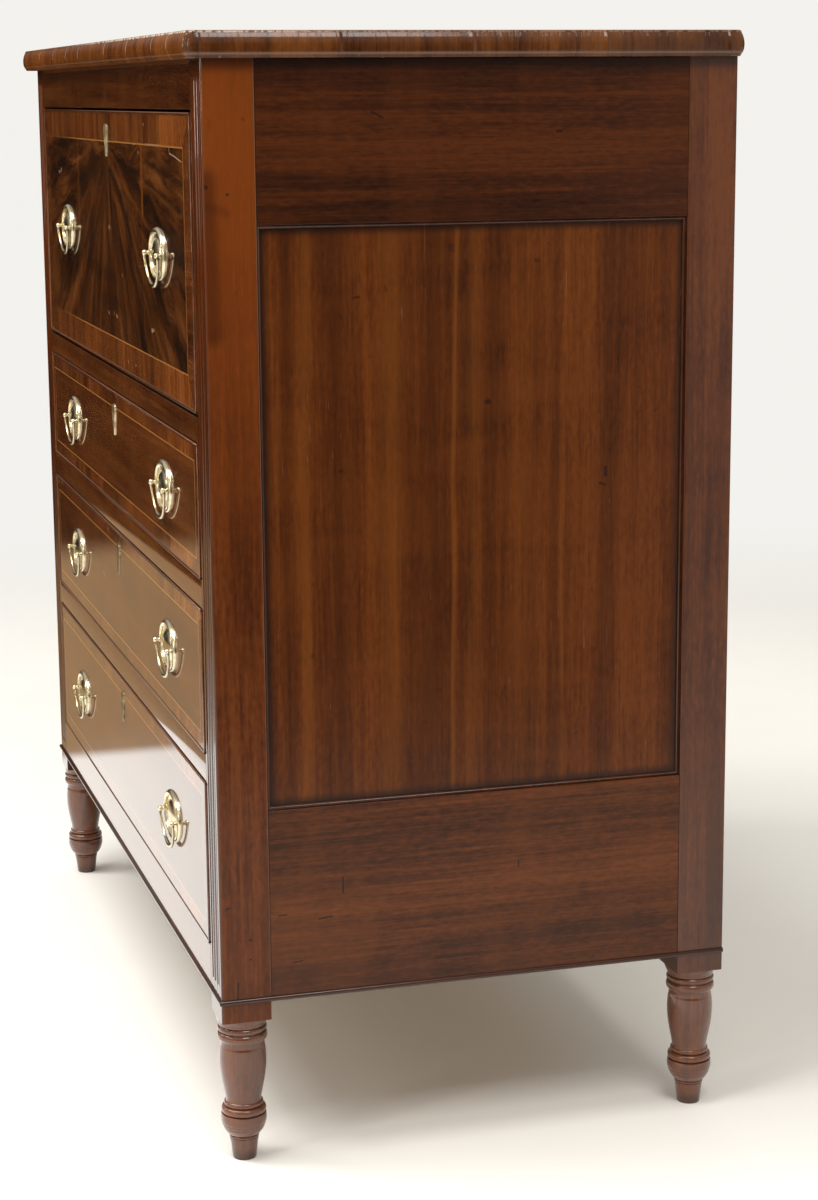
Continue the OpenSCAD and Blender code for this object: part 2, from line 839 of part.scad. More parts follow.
// A small interior drawer with a turned knob, the i-th from the left
module small_drawer(i) {
    x0 = small_x(i) + small_gap;
    x1 = small_x(i) + small_w - small_gap;
    z0 = board_top + nest_t + run_gap;
    z1 = shelf_z - small_gap;
    y1 = nest_end - small_stop;
    color(mahogany) at_front() {
        difference() {
            span([x0, nest_y, z0], [x1, y1, z1]);
            span([x0 + small_side_t, nest_y + small_front_t, z0 + small_bottom_t],
                 [x1 - small_side_t, y1 - small_side_t, z1 + past]);
            span([x0 - past, nest_y + small_front_t, z1 - small_drop], [x1 + past, y1 + past, z1 + past]);
        }
        translate([(x0 + x1) / 2, nest_y, (z0 + z1) / 2]) rotate([quarter, 0, 0]) rotate_extrude()
            polygon(concat([[0, 0], [knob_r * 0.6, 0], [knob_r * 0.45, knob_r * 0.6]],
                           bulge(knob_r * 0.9, knob_r * 2, knob_r * 0.5, knob_r * 0.5),
                           [[0, knob_r * 2]]));
    }
}
module small_drawer_left() { small_drawer(0); }
module small_drawer_middle() { small_drawer(1); }
module small_drawer_right() { small_drawer(2); }

// A cock bead's round nose along the four edges of a front that spans x and z
module cock_bead(x, z0, z1) {
    for (z = [z0 + cock_r, z1 - cock_r])
        translate([-x, 0, z]) rotate([0, quarter, 0]) cylinder(h = 2 * x, r = cock_r, $fn = 24);
    for (s = [-1, 1])
        translate([s * (x - cock_r), 0, z0]) cylinder(h = z1 - z0, r = cock_r, $fn = 24);
}

// The keyhole's outline, its round part at the origin
module keyhole() {
    circle(key_r, $fn = 24);
    translate([-key_r / 2, -key_slot]) square([key_r, key_slot]);
}

// The space that a lock takes in a front of thickness t whose top edge is at z
module lock_space(t, z) {
    span([-lock_w / 2, t - lock_t, z - lock_h], [lock_w / 2, t + past, z + past]);
    translate([0, t - lock_t + past, z - key_down]) rotate([quarter, 0, 0])
        linear_extrude(t + 2 * past) keyhole();
}

// A lock case flush with the back of the front and with its top edge, and its escutcheon
module lock_and_escutcheon(t, z) {
    channel_w = bolt_w + 2 * bolt_gap;
    channel_t = bolt_t + 2 * bolt_gap;
    mid_y = t - lock_t / 2;
    difference() {
        span([-lock_w / 2, t - lock_t, z - lock_h], [lock_w / 2, t, z]);
        span([-channel_w / 2, mid_y - channel_t / 2, z - bolt_h - bolt_gap - bolt_down],
             [channel_w / 2, mid_y + channel_t / 2, z + past]);
        translate([0, t - lock_t + key_depth, z - key_down]) rotate([quarter, 0, 0])
            linear_extrude(key_depth + past) keyhole();
    }
    escutcheon(z - key_down);
}

// A brass escutcheon, round above and drawn to a blunt point below
module escutcheon(z) {
    r = esc_w / 2;
    tip = 3;
    drop = esc_h - r - tip;
    lift = r - 1;
    translate([0, 0, z]) rotate([quarter, 0, 0]) linear_extrude(esc_t) difference() {
        union() {
            translate([0, lift]) circle(r);
            polygon([[-r, lift], [r, lift], [tip, lift - drop], [-tip, lift - drop]]);
            translate([0, lift - drop]) circle(tip);
        }
        keyhole();
    }
}

// A lock bolt at rest, its upper end just under the top edge of the front
module lock_bolt(t, z) {
    mid_y = t - lock_t / 2;
    span([-bolt_w / 2, mid_y - bolt_t / 2, z - bolt_h - bolt_down],
         [bolt_w / 2, mid_y + bolt_t / 2, z - bolt_down]);
}

// An oval of four arcs, a wide and b high, with ends of radius r
module oval(a, b, r) {
    c = a - r;
    k = (c * c - pow(b - r, 2)) / (2 * (b - r));
    big = b + k;
    touch = c * big / (big - r);
    for (s = [-1, 1]) translate([s * c, 0]) circle(r);
    intersection() {
        translate([0, -k]) circle(big, $fn = 128);
        translate([0, k]) circle(big, $fn = 128);
        square([2 * touch, 2 * b], center = true);
    }
}

// The two shanks of a pull, through a front of thickness t
module pull_shanks(r, l) {
    for (s = [-1, 1]) translate([s * post_x, 0, 0]) rotate([-quarter, 0, 0]) cylinder(h = l, r = r);
}

// One pull's plate on the plane y = 0 with its posts, whose balls are bored for the bail's
// hooks; nuts are drawn where through is true
module pull_plate(t, through) {
    cap = (pow(oval_b - rim_w, 2) + pow(dome_h, 2)) / (2 * dome_h);
    difference() {
        union() {
            rotate([quarter, 0, 0]) {
                linear_extrude(field_h) oval(oval_a, oval_b, oval_end);
                linear_extrude(rim_h) difference() {
                    oval(oval_a, oval_b, oval_end);
                    oval(oval_a - rim_w, oval_b - rim_w, oval_end - rim_w);
                }
                intersection() {
                    translate([0, 0, dome_h - cap]) sphere(cap, $fn = 96);
                    translate([0, 0, field_h / 2]) linear_extrude(dome_h)
                        square(2 * oval_b, center = true);
                }
            }
            for (s = [-1, 1]) translate([s * post_x, 0, 0]) {
                rotate([quarter, 0, 0]) cylinder(h = bail_out, r = stem_r);
                translate([0, -bail_out, 0]) rotate([0, quarter, 0]) sphere(knuckle_r);
            }
            pull_shanks(shank_r, through ? t + nut_t : t - shank_stop);
            if (through) for (s = [-1, 1]) translate([s * post_x, t, 0]) rotate([-quarter, 0, 0])
                cylinder(h = nut_t, r = nut_r, $fn = 6);
        }
        for (s = [-1, 1]) translate([s * post_x, -bail_out, 0])
            rotate([0, quarter, 0])
                cylinder(h = 2 * (knuckle_r + past), r = hook_r + hook_gap, center = true);
    }
}

// A bail at rest, hanging from its two hooks, with its axis along X through the origin. Its
// bow is an arc whose centre lies above the axis.
module bail_solid() {
    arm = post_x + knuckle_r + bail_r + bail_gap;
    hook_l = bail_r + bail_gap + 1.5 * knuckle_r;
    bow_r = (arm * arm + bail_drop * bail_drop) / (2 * bail_drop);
    end = asin((bow_r - bail_drop) / bow_r);
    translate([0, 0, bow_r - bail_drop]) rotate([quarter, 0, 0]) rotate([0, 0, 180 + end])
        rotate_extrude(angle = 180 - 2 * end) translate([bow_r, 0]) circle(bail_r, $fn = 24);
    for (s = [-1, 1]) {
        translate([s * arm, 0, 0]) rotate([0, quarter, 0]) sphere(bail_r, $fn = 24);
        translate([s * (arm - hook_l / 2), 0, 0]) rotate([0, quarter, 0])
            cylinder(h = hook_l, r = hook_r, center = true);
    }
}

module pull_pair(z, t, through) {
    color(brass) at_front() for (s = [-1, 1]) translate([s * pull_x, 0, z]) pull_plate(t, through);
}

module bail_at(side, z) {
    color(brass_dull) at_front() translate([side * pull_x, -bail_out, z]) rotate([bail_lean, 0, 0])
        bail_solid();
}

// A front of thickness t from z0 to z1, with its bead and the holes for its lock and pulls
module front_solid(t, z0, z1, pull_z, through) {
    difference() {
        union() {
            span([-fall_half, 0, z0], [fall_half, t, z1]);
            cock_bead(fall_half, z0, z1);
        }
        lock_space(t, z1);
        for (s = [-1, 1]) translate([s * pull_x, 0, pull_z])
            pull_shanks(shank_r, through ? t + past : t - shank_stop);
    }
}

module fall_board() {
    color(mahogany_veneer) at_front() difference() {
        front_solid(fall_t, fall_low, fall_high, fall_pull_z, false);
        both_sides() {
            translate([plate_x(), pivot_y, pivot_z]) plate_slot();
            pivot_bores();
        }
    }
}

// A quarter ring of brass plate, fixed to the fall's inner face and swinging about the pivot
module quadrant_stays() {
    gap = 1;
    foot = 5;
    plate_h = 5 * stay_w;
    tip = 2;
    color(brass) at_front() both_sides()
        translate([desk_inner - gap - stay_t, pivot_y, pivot_z]) rotate([quarter, 0, quarter])
            linear_extrude(stay_t) {
                intersection() {
                    difference() {
                        circle(stay_r, $fn = 128);
                        circle(stay_r - stay_w, $fn = 128);
                    }
                    polygon([[fall_t / 2, 0], [0, 0], [stay_r, stay_r * sin(foot)],
                             [stay_r, stay_r + past], [fall_t / 2, stay_r + past]]);
                }
                translate([fall_t / 2, stay_r - plate_h]) square([stay_w / 3, plate_h - tip]);
            }
}

module fall_lock() { color(brass) at_front() lock_and_escutcheon(fall_t, fall_high); }
module fall_bolt() { color(brass_dull) at_front() lock_bolt(fall_t, fall_high); }
module fall_pull_plates() { pull_pair(fall_pull_z, fall_t, false); }
module fall_bail_left() { bail_at(-1, fall_pull_z); }
module fall_bail_right() { bail_at(1, fall_pull_z); }

// Dovetails of a drawer side of height h, as an outline from y = 0 towards the front
module tail_outline(h) {
    n = max(2, round(h / tail_pitch));
    pitch = h / n;
    for (i = [0:n - 1]) translate([0, pitch * (i + 0.5)])
        polygon([[0, -pitch * 0.3], [0, pitch * 0.3], [-tail, pitch * 0.38], [-tail, -pitch * 0.38]]);
}

// The dovetails of the right side of a drawer whose side stands from z0 to z1
module tails(z0, z1) {
    translate([fall_half - side_t, front_t, z0]) rotate([quarter, 0, quarter])
        linear_extrude(side_t) tail_outline(z1 - z0);
}

// The upper edge of a drawer's sides over the opening from z to z + h
function side_low(z) = z + run_gap;
function side_high(z, h) = z + h - top_gap - side_drop;

module drawer_front(z, h) {
    color(mahogany_veneer) at_front() difference() {
        front_solid(front_t, z + bottom_gap, z + h - top_gap, z + h / 2, true);
        both_sides() tails(side_low(z) + tail_up, side_high(z, h));
        span([-fall_half + side_t / 2, front_t - side_t / 2, side_low(z) + bottom_up],
             [fall_half - side_t / 2, front_t + past, side_low(z) + bottom_up + bottom_t]);
    }
}

// Two sides with their tails, a back between them and a bottom in their grooves
module drawer_box(z, h) {
    low = side_low(z);
    high = side_high(z, h);
    floor_z = low + bottom_up;
    inner = fall_half - side_t;
    color(secondary_wood) at_front() {
        both_sides() difference() {
            union() {
                span([inner, front_t, low], [fall_half, drawer_end, high]);
                tails(low + tail_up, high);
            }
            span([inner - past, front_t - side_t / 2 - glue, floor_z],
                 [inner + side_t / 2, drawer_end + past, floor_z + bottom_t]);
        }
        span([-inner + glue, drawer_end - side_t, floor_z + bottom_t + glue],
             [inner - glue, drawer_end, high]);
        span([-inner - side_t / 2 + glue, front_t - side_t / 2, floor_z + glue],
             [inner + side_t / 2 - glue, drawer_end, floor_z + bottom_t - glue]);
    }
}

module drawer_lock(z, h) { color(brass) at_front() lock_and_escutcheon(front_t, z + h - top_gap); }
module drawer_bolt(z, h) { color(brass_dull) at_front() lock_bolt(front_t, z + h - top_gap); }

module upper_drawer_front() { drawer_front(upper_z, upper_h); }
module upper_drawer_box() { drawer_box(upper_z, upper_h); }
module upper_drawer_lock() { drawer_lock(upper_z, upper_h); }
module upper_drawer_bolt() { drawer_bolt(upper_z, upper_h); }
module upper_drawer_pull_plates() { pull_pair(upper_z + upper_h / 2, front_t, true); }
module upper_drawer_bail_left() { bail_at(-1, upper_z + upper_h / 2); }
module upper_drawer_bail_right() { bail_at(1, upper_z + upper_h / 2); }

module middle_drawer_front() { drawer_front(middle_z, middle_h); }
module middle_drawer_box() { drawer_box(middle_z, middle_h); }
module middle_drawer_lock() { drawer_lock(middle_z, middle_h); }
module middle_drawer_bolt() { drawer_bolt(middle_z, middle_h); }
module middle_drawer_pull_plates() { pull_pair(middle_z + middle_h / 2, front_t, true); }
module middle_drawer_bail_left() { bail_at(-1, middle_z + middle_h / 2); }
module middle_drawer_bail_right() { bail_at(1, middle_z + middle_h / 2); }

module lower_drawer_front() { drawer_front(lower_z, lower_h); }
module lower_drawer_box() { drawer_box(lower_z, lower_h); }
module lower_drawer_lock() { drawer_lock(lower_z, lower_h); }
module lower_drawer_bolt() { drawer_bolt(lower_z, lower_h); }
module lower_drawer_pull_plates() { pull_pair(lower_z + lower_h / 2, front_t, true); }
module lower_drawer_bail_left() { bail_at(-1, lower_z + lower_h / 2); }
module lower_drawer_bail_right() { bail_at(1, lower_z + lower_h / 2); }

top_board();
front_post_right();
front_post_left();
back_post_right();
back_post_left();
side_top_rail_right();
side_top_rail_left();
side_bottom_rail_right();
side_bottom_rail_left();
side_panel_right();
side_panel_left();
panel_beads();
frieze_rail();
upper_blade();
middle_blade();
lower_blade();
bottom_rail();
base_bead();
drawer_runners();
drawer_guides();
back_rails();
back_boards();
desk_sides();
desk_board();
desk_back();
pivot_plates();
pigeonhole_case();
pigeonhole_dividers();
pigeonhole_valances();
small_drawer_left();
small_drawer_middle();
small_drawer_right();
fall_board();
quadrant_stays();
fall_lock();
fall_bolt();
fall_pull_plates();
fall_bail_left();
fall_bail_right();
upper_drawer_front();
upper_drawer_box();
upper_drawer_lock();
upper_drawer_bolt();
upper_drawer_pull_plates();
upper_drawer_bail_left();
upper_drawer_bail_right();
middle_drawer_front();
middle_drawer_box();
middle_drawer_lock();
middle_drawer_bolt();
middle_drawer_pull_plates();
middle_drawer_bail_left();
middle_drawer_bail_right();
lower_drawer_front();
lower_drawer_box();
lower_drawer_lock();
lower_drawer_bolt();
lower_drawer_pull_plates();
lower_drawer_bail_left();
lower_drawer_bail_right();
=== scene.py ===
"""Butlers chest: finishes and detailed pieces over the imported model, with floor, lights and camera."""

from __future__ import annotations

import logging
import math
from collections.abc import Callable
from dataclasses import dataclass, field
from enum import Enum
from typing import Any, ClassVar

import bmesh
import bpy
import numpy as np
from mathutils import Matrix, Vector

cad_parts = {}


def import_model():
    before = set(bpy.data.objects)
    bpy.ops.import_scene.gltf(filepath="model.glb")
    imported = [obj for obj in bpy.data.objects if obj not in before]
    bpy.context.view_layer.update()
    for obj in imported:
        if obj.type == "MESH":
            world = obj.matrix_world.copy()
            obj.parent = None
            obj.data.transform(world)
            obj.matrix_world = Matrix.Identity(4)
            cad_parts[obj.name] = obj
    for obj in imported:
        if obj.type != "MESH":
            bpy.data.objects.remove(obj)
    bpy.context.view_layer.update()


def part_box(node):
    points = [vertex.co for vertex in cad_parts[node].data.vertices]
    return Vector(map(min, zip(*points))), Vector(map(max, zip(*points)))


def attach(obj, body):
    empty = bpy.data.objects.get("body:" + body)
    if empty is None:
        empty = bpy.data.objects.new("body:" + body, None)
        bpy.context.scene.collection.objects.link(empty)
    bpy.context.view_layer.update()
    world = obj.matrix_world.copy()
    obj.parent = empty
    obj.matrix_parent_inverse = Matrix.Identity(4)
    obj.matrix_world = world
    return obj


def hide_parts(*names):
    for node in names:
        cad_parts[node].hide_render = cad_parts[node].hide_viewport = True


log = logging.getLogger("butlers_chest")

Colour = tuple[float, float, float]
Socket = bpy.types.NodeSocket

MM = 0.001


class Grain(Enum):
    """Direction in which the fibres of a piece of wood run."""

    X = "x"
    Y = "y"
    Z = "z"


class Side(Enum):
    """Left and right, seen from the front."""

    LEFT = -1
    RIGHT = 1


# Surfaces


@dataclass
class Shell:
    """Points and faces of a surface, with a texture position for each corner of each face."""

    points: np.ndarray
    quads: np.ndarray
    caps: list[np.ndarray] = field(default_factory=list)
    uv: np.ndarray | None = None
    normals: np.ndarray | None = None

    def mirrored(self) -> Shell:
        """Returns the shell turned from right to left, with its faces still pointing outwards."""
        flip = np.array([-1.0, 1.0, 1.0])
        normals = None if self.normals is None else self.normals * flip
        uv = None if self.uv is None else self.uv[:, ::-1]
        return Shell(self.points * flip, self.quads[:, ::-1], [c[::-1] for c in self.caps], uv, normals)

    def moved(self, x: float = 0.0, y: float = 0.0, z: float = 0.0) -> Shell:
        """Returns the shell shifted by x, y and z metres."""
        return Shell(self.points + np.array([x, y, z]), self.quads, self.caps, self.uv, self.normals)

    def welded(self) -> Shell:
        """Joins the points that lie on one place and leaves out the faces that vanish by it.

        Two points are one where they agree to a tenth of a micrometre.

        Returns:
            The shell without doubled points.
        """
        keys = np.round(self.points * 1e7).astype(np.int64)
        _, first, where = np.unique(keys, axis=0, return_index=True, return_inverse=True)
        where = where.reshape(-1)
        quads = where[self.quads]
        whole = np.array([len(set(quad)) == 4 for quad in quads.tolist()])
        caps = [np.array(list(dict.fromkeys(where[cap].tolist()))) for cap in self.caps]
        return Shell(self.points[first], quads[whole], caps, self.uv[whole])


def joined(*shells: Shell) -> Shell:
    """Puts several shells into one.

    Args:
        shells: The shells to join.

    Returns:
        One shell that holds them all; those without texture positions get zeros.
    """
    offsets = np.cumsum([0] + [len(s.points) for s in shells[:-1]])
    points = np.vstack([s.points for s in shells])
    quads = np.vstack([s.quads + o for s, o in zip(shells, offsets)])
    caps = [cap + o for s, o in zip(shells, offsets) for cap in s.caps]
    uv = np.vstack([np.zeros((len(s.quads), 4, 2)) if s.uv is None else s.uv for s in shells])
    whole = all(s.normals is not None for s in shells)
    normals = np.vstack([s.normals for s in shells]) if whole else None
    return Shell(points, quads, caps, uv, normals)


def woven(grid: np.ndarray, ring: bool = True, loop: bool = False) -> Shell:
    """Makes a surface from a grid of points, whose rows are carried along a path.

    Args:
        grid: Points as (rows, columns, 3).
        ring: Whether the last column joins the first.
        loop: Whether the last row joins the first; otherwise rings are closed at both ends.

    Returns:
        The shell. Its texture position is the metres along a row and down the columns.
    """
    rows, cols = grid.shape[:2]
    a, b = np.meshgrid(np.arange(rows - (not loop)), np.arange(cols - (not ring)), indexing="ij")
    a, b = a.ravel(), b.ravel()
    a1, b1 = (a + 1) % rows, (b + 1) % cols
    quads = np.stack([a * cols + b, a * cols + b1, a1 * cols + b1, a1 * cols + b], axis=1)
    along, down = np.zeros(cols + 1), np.zeros(rows + 1)
    middle = grid[rows // 2]
    along[1:] = np.cumsum(np.linalg.norm(np.roll(middle, -1, axis=0) - middle, axis=1))
    down[1:] = np.cumsum(np.linalg.norm(np.roll(grid, -1, axis=0) - grid, axis=2).mean(axis=1))
    corners = [(b, a), (b + 1, a), (b + 1, a + 1), (b, a + 1)]
    uv = np.stack([np.stack([along[u], down[v]], axis=1) for u, v in corners], axis=1)
    caps = [] if loop or not ring else [np.arange(cols)[::-1], (rows - 1) * cols + np.arange(cols)]
    return Shell(grid.reshape(-1, 3), quads, caps, uv)


def rounded_box(low: Any, high: Any, radius: float, steps: int = 3) -> Shell:
    """Makes a box with rounded edges.

    Each face is a grid that is even in angle over the rounded edges. A point lies at the nearest
    place in the box shrunk by the radius, plus the radius along the direction to the unrounded
    point, so the edges are quarter cylinders and the corners are parts of spheres.

    Args:
        low: Lowest corner in metres.
        high: Highest corner in metres.
        radius: Radius of the edges in metres.
        steps: Faces across each rounded edge.

    Returns:
        The closed shell, with exact normals.
    """
    low, high = np.array(low, float), np.array(high, float)
    radius = min(radius, float((high - low).min()) * 0.45)
    edge = np.tan(np.linspace(-math.pi / 4, 0, steps + 1))
    unit = np.concatenate([edge, -edge[::-1]])
    inner = np.concatenate([np.zeros(steps + 1), np.ones(steps + 1)])
    n = len(unit)
    index = np.arange(n * n).reshape(n, n)
    quad = np.stack([index[:-1, :-1], index[1:, :-1], index[1:, 1:], index[:-1, 1:]], axis=-1).reshape(-1, 4)
    points, normals, quads = [], [], []
    a, b = np.meshgrid(np.arange(n), np.arange(n), indexing="ij")
    for axis in range(3):
        u, v = (axis + 1) % 3, (axis + 2) % 3
        for sign in (-1, 1):
            direction, core = np.zeros((n, n, 3)), np.zeros((n, n, 3))
            direction[..., axis], direction[..., u], direction[..., v] = sign, unit[a], unit[b]
            direction /= np.linalg.norm(direction, axis=-1, keepdims=True)
            core[..., axis], core[..., u], core[..., v] = (sign + 1) / 2, inner[a], inner[b]
            spot = low + radius + core * (high - low - 2 * radius) + direction * radius
            points.append(spot.reshape(-1, 3))
            normals.append(direction.reshape(-1, 3))
            quads.append((quad if sign > 0 else quad[:, ::-1]) + (len(points) - 1) * n * n)
    points, normals, quads = np.vstack(points), np.vstack(normals), np.vstack(quads)
    key = np.round(np.hstack([points * 1e6, normals * 1e3])).astype(np.int64)
    _, first, where = np.unique(key, axis=0, return_index=True, return_inverse=True)
    return Shell(points[first], where.reshape(-1)[quads], [], None, normals[first])


def turned(profile: np.ndarray, x: float, y: float, around: int = 96) -> Shell:
    """Makes a turned shape, whose radius is a function of height only.

    Args:
        profile: Radius and height pairs in metres, from the lowest to the highest.
        x: Place of the upright axis in metres.
        y: Place of the upright axis in metres.
        around: Number of faces round the axis.

    Returns:
        The shell, closed at both ends.
    """
    angle = np.linspace(0, 2 * math.pi, around, endpoint=False)
    ring = np.stack([np.cos(angle), np.sin(angle)], axis=1)
    grid = np.zeros((len(profile), around, 3))
    grid[..., :2] = profile[:, None, :1] * ring[None] + np.array([x, y])
    grid[..., 2] = profile[:, None, 1]
    return woven(grid)


def mitred(path: np.ndarray, out: np.ndarray, up: np.ndarray, profile: np.ndarray, loop: bool) -> Shell:
    """Carries a profile along a path with mitred corners.

    Each ring is the path's corner plus the profile's first coordinate along that corner's
    outward direction, which is already lengthened for the mitre, plus its second along up.

    Args:
        path: Corners of the path as (n, 3).
        out: Outward direction at each corner as (n, 3).
        up: One direction, square to the path's plane.
        profile: Closed outline as (m, 2), in metres.
        loop: Whether the path closes.

    Returns:
        The shell.
    """
    grid = path[:, None] + profile[None, :, :1] * out[:, None] + profile[None, :, 1:] * up
    return woven(grid, ring=True, loop=loop)


def rectangle(x0: float, x1: float, z0: float, z1: float, y: float) -> tuple[np.ndarray, np.ndarray]:
    """Returns the corners of an upright rectangle that faces -Y, and their outward mitre directions."""
    path = np.array([[x0, y, z0], [x1, y, z0], [x1, y, z1], [x0, y, z1]])
    out = np.array([[-1.0, 0, -1], [1, 0, -1], [1, 0, 1], [-1, 0, 1]])
    return path, out


# Materials


class Graph:
    """Short ways to add nodes to a material or a world."""

    def __init__(self, tree: bpy.types.NodeTree) -> None:
        """Keeps the tree and empties it."""
        self.tree = tree
        tree.nodes.clear()

    def put(self, kind: str, inputs: dict[Any, Any] | None = None, out: Any = 0, **settings: Any) -> Socket:
        """Adds one node.

        Args:
            kind: Blender's name for the node's type, without its ShaderNode prefix.
            inputs: Values or sockets for its inputs, by index or name.
            out: The output to return, by index or name.
            settings: Values for its own properties.

        Returns:
            The chosen output socket.
        """
        node = self.tree.nodes.new("ShaderNode" + kind)
        for name, value in settings.items():
            setattr(node, name, value)
        for key, value in (inputs or {}).items():
            if isinstance(value, bpy.types.NodeSocket):
                self.tree.links.new(value, node.inputs[key])
            else:
                node.inputs[key].default_value = value
        return node.outputs[out]

    def math(self, operation: str, a: Any, b: Any = 0.0, c: Any = 0.0) -> Socket:
        """Returns the result of one arithmetic step on a, b and c."""
        return self.put("Math", {0: a, 1: b, 2: c}, operation=operation)

    def mix(self, amount: Any, a: Any, b: Any, blend: str = "MIX") -> Socket:
        """Returns colour a blended with colour b by amount."""
        pair = [(*v, 1.0) if isinstance(v, tuple) and len(v) == 3 else v for v in (a, b)]
        return self.put("Mix", {0: amount, 6: pair[0], 7: pair[1]}, 2, data_type="RGBA", blend_type=blend)

    def step(self, value: Any, low: float, high: float, to_low: float = 0.0, to_high: float = 1.0) -> Socket:
        """Returns value mapped smoothly from the range low to high onto to_low to to_high."""
        inputs = {0: value, 1: low, 2: high, 3: to_low, 4: to_high}
        return self.put("MapRange", inputs, interpolation_type="SMOOTHSTEP")

    def noise(
        self, vector: Socket, scale: float, detail: float = 2.0, rough: float = 0.5, twist: float = 0.0
    ) -> Socket:
        """Returns a noise value from 0 to 1."""
        inputs = {"Vector": vector, "Scale": scale, "Detail": detail, "Roughness": rough, "Distortion": twist}
        return self.put("TexNoise", inputs)

    def ramp(self, value: Socket, *stops: tuple[float, Colour]) -> Socket:
        """Returns a colour that runs through the stops as value goes from 0 to 1."""
        socket = self.put("ValToRGB", {0: value})
        elements = socket.node.color_ramp.elements
        while len(elements) < len(stops):
            elements.new(1.0)
        for element, (place, colour) in zip(elements, stops):
            element.position = place
            element.color = (*colour, 1.0)
        return socket

    def pieces(
        self, value: Socket, joints: tuple[float, ...], tones: tuple[float, ...], reach: float
    ) -> Socket:
        """Returns a grey that changes at each joint, as short pieces of veneer differ in tone.

        Args:
            value: Place along the row of pieces in metres.
            joints: Places of the joints, rising.
            tones: Tone of each piece, one more than the joints.
            reach: Half the length of the row.

        Returns:
            The tone as a colour.
        """
        share = self.put("MapRange", {0: value, 1: -reach, 2: reach, 3: 0.0, 4: 1.0})
        stops = [0.0] + [(joint + reach) / (2 * reach) for joint in joints]
        colour = self.ramp(share, *[(place, (tone, tone, tone)) for place, tone in zip(stops, tones)])
        colour.node.color_ramp.interpolation = "CONSTANT"
        return colour

    def gap(self, value: Any, place: float) -> Socket:
        """Returns the distance from value to a place."""
        return self.math("ABSOLUTE", self.math("SUBTRACT", value, place))

    def times(self, *factors: Any) -> Any:
        """Returns the product of the factors."""
        product = factors[0]
        for factor in factors[1:]:
            product = self.math("MULTIPLY", product, factor)
        return product

    def nearest(self, value: Socket, places: tuple[float, ...]) -> Socket:
        """Returns the distance from value to the nearest of the places."""
        gaps = [self.gap(value, place) for place in places]
        least = gaps[0]
        for gap in gaps[1:]:
            least = self.math("MINIMUM", least, gap)
        return least

    def scaled(
        self, vector: Socket, scale: tuple[float, float, float], shift: tuple[float, float, float] = (0, 0, 0)
    ) -> Socket:
        """Returns the vector stretched by scale and shifted."""
        return self.put("Mapping", {"Vector": vector, "Location": shift, "Scale": scale})

    def split(self, vector: Socket) -> tuple[Socket, Socket, Socket]:
        """Returns the vector's three coordinates."""
        node = self.put("SeparateXYZ", {0: vector}).node
        return node.outputs[0], node.outputs[1], node.outputs[2]

    def vector(self, x: Any, y: Any, z: Any) -> Socket:
        """Returns a vector made of three values."""
        return self.put("CombineXYZ", {0: x, 1: y, 2: z})

    def here(self) -> Socket:
        """Returns the place on the object, in metres in the chest's frame."""
        return self.put("TexCoord", out="Object")

    def finish(self, surface: Socket) -> None:
        """Joins the surface to the material's output."""
        output = self.tree.nodes.new("ShaderNodeOutputMaterial")
        self.tree.links.new(surface, output.inputs["Surface"])


def blank_material(name: str, colour: Colour) -> tuple[bpy.types.Material, Graph]:
    """Makes an empty node material.

    Args:
        name: The material's name.
        colour: Its colour in the viewport.

    Returns:
        The material and its graph.
    """
    material = bpy.data.materials.new(name)
    material.use_nodes = True
    material.diffuse_color = (*colour, 1.0)
    return material, Graph(material.node_tree)


@dataclass(frozen=True)
class Palette:
    """Dark, middle and light tone of a wood, as linear colours."""

    dark: Colour
    middle: Colour
    light: Colour

    def warmed(self, amount: float) -> Palette:
        """Returns the palette with all its tones lighter by amount."""
        tones = [tuple(c * amount for c in tone) for tone in (self.dark, self.middle, self.light)]
        return Palette(*tones)


@dataclass(frozen=True)
class Polish:
    """How a surface shines."""

    roughness: float = 0.38
    coat: float = 0.6
    coat_roughness: float = 0.18
    ripple: float = 0.0005
    pores: float = 0.00005
    sheen: float = 0.08
    carved: bool = False


PANEL_WOOD = Palette((0.031, 0.0070, 0.0009), (0.076, 0.0170, 0.0017), (0.132, 0.0335, 0.0040))
POST_WOOD = Palette((0.040, 0.0090, 0.0014), (0.078, 0.0175, 0.0026), (0.130, 0.033, 0.0050))
# The posts' wood made darker for their reeded front faces: painted shade, as those faces get less light than
# the sides.
SHADED_REED_WOOD = Palette((0.022, 0.0044, 0.0006), (0.041, 0.0078, 0.0009), (0.072, 0.0155, 0.0018))
RAIL_WOOD = Palette((0.013, 0.0032, 0.0008), (0.036, 0.0082, 0.0014), (0.072, 0.0165, 0.0026))
EDGE_WOOD = Palette((0.055, 0.0135, 0.0020), (0.130, 0.035, 0.0048), (0.210, 0.064, 0.0095))
BASE_WOOD = Palette((0.030, 0.0080, 0.0016), (0.080, 0.0200, 0.0034), (0.130, 0.036, 0.0070))
FRONT_WOOD = Palette((0.030, 0.0068, 0.0014), (0.084, 0.0212, 0.0038), (0.160, 0.0480, 0.0095))
INNER_WOOD = Palette((0.120, 0.046, 0.0155), (0.205, 0.085, 0.030), (0.290, 0.130, 0.050))
POPLAR = Palette((0.250, 0.155, 0.070), (0.370, 0.245, 0.120), (0.470, 0.330, 0.175))
PINE = Palette((0.215, 0.120, 0.047), (0.320, 0.190, 0.080), (0.400, 0.260, 0.120))
BOXWOOD: Colour = (0.42, 0.18, 0.050)
# Near black for dirt, bruises and dark joints, and also for painted shade under the top and round the side
# panels.
GRIME_AND_SHADE: Colour = (0.010, 0.0045, 0.0025)
# Pale colour of chips and a crack, and also of a painted highlight along the posts' inner arrises.
PALE_WEAR_AND_GLINT: Colour = (0.42, 0.30, 0.20)
SCRATCH: Colour = (0.26, 0.16, 0.09)
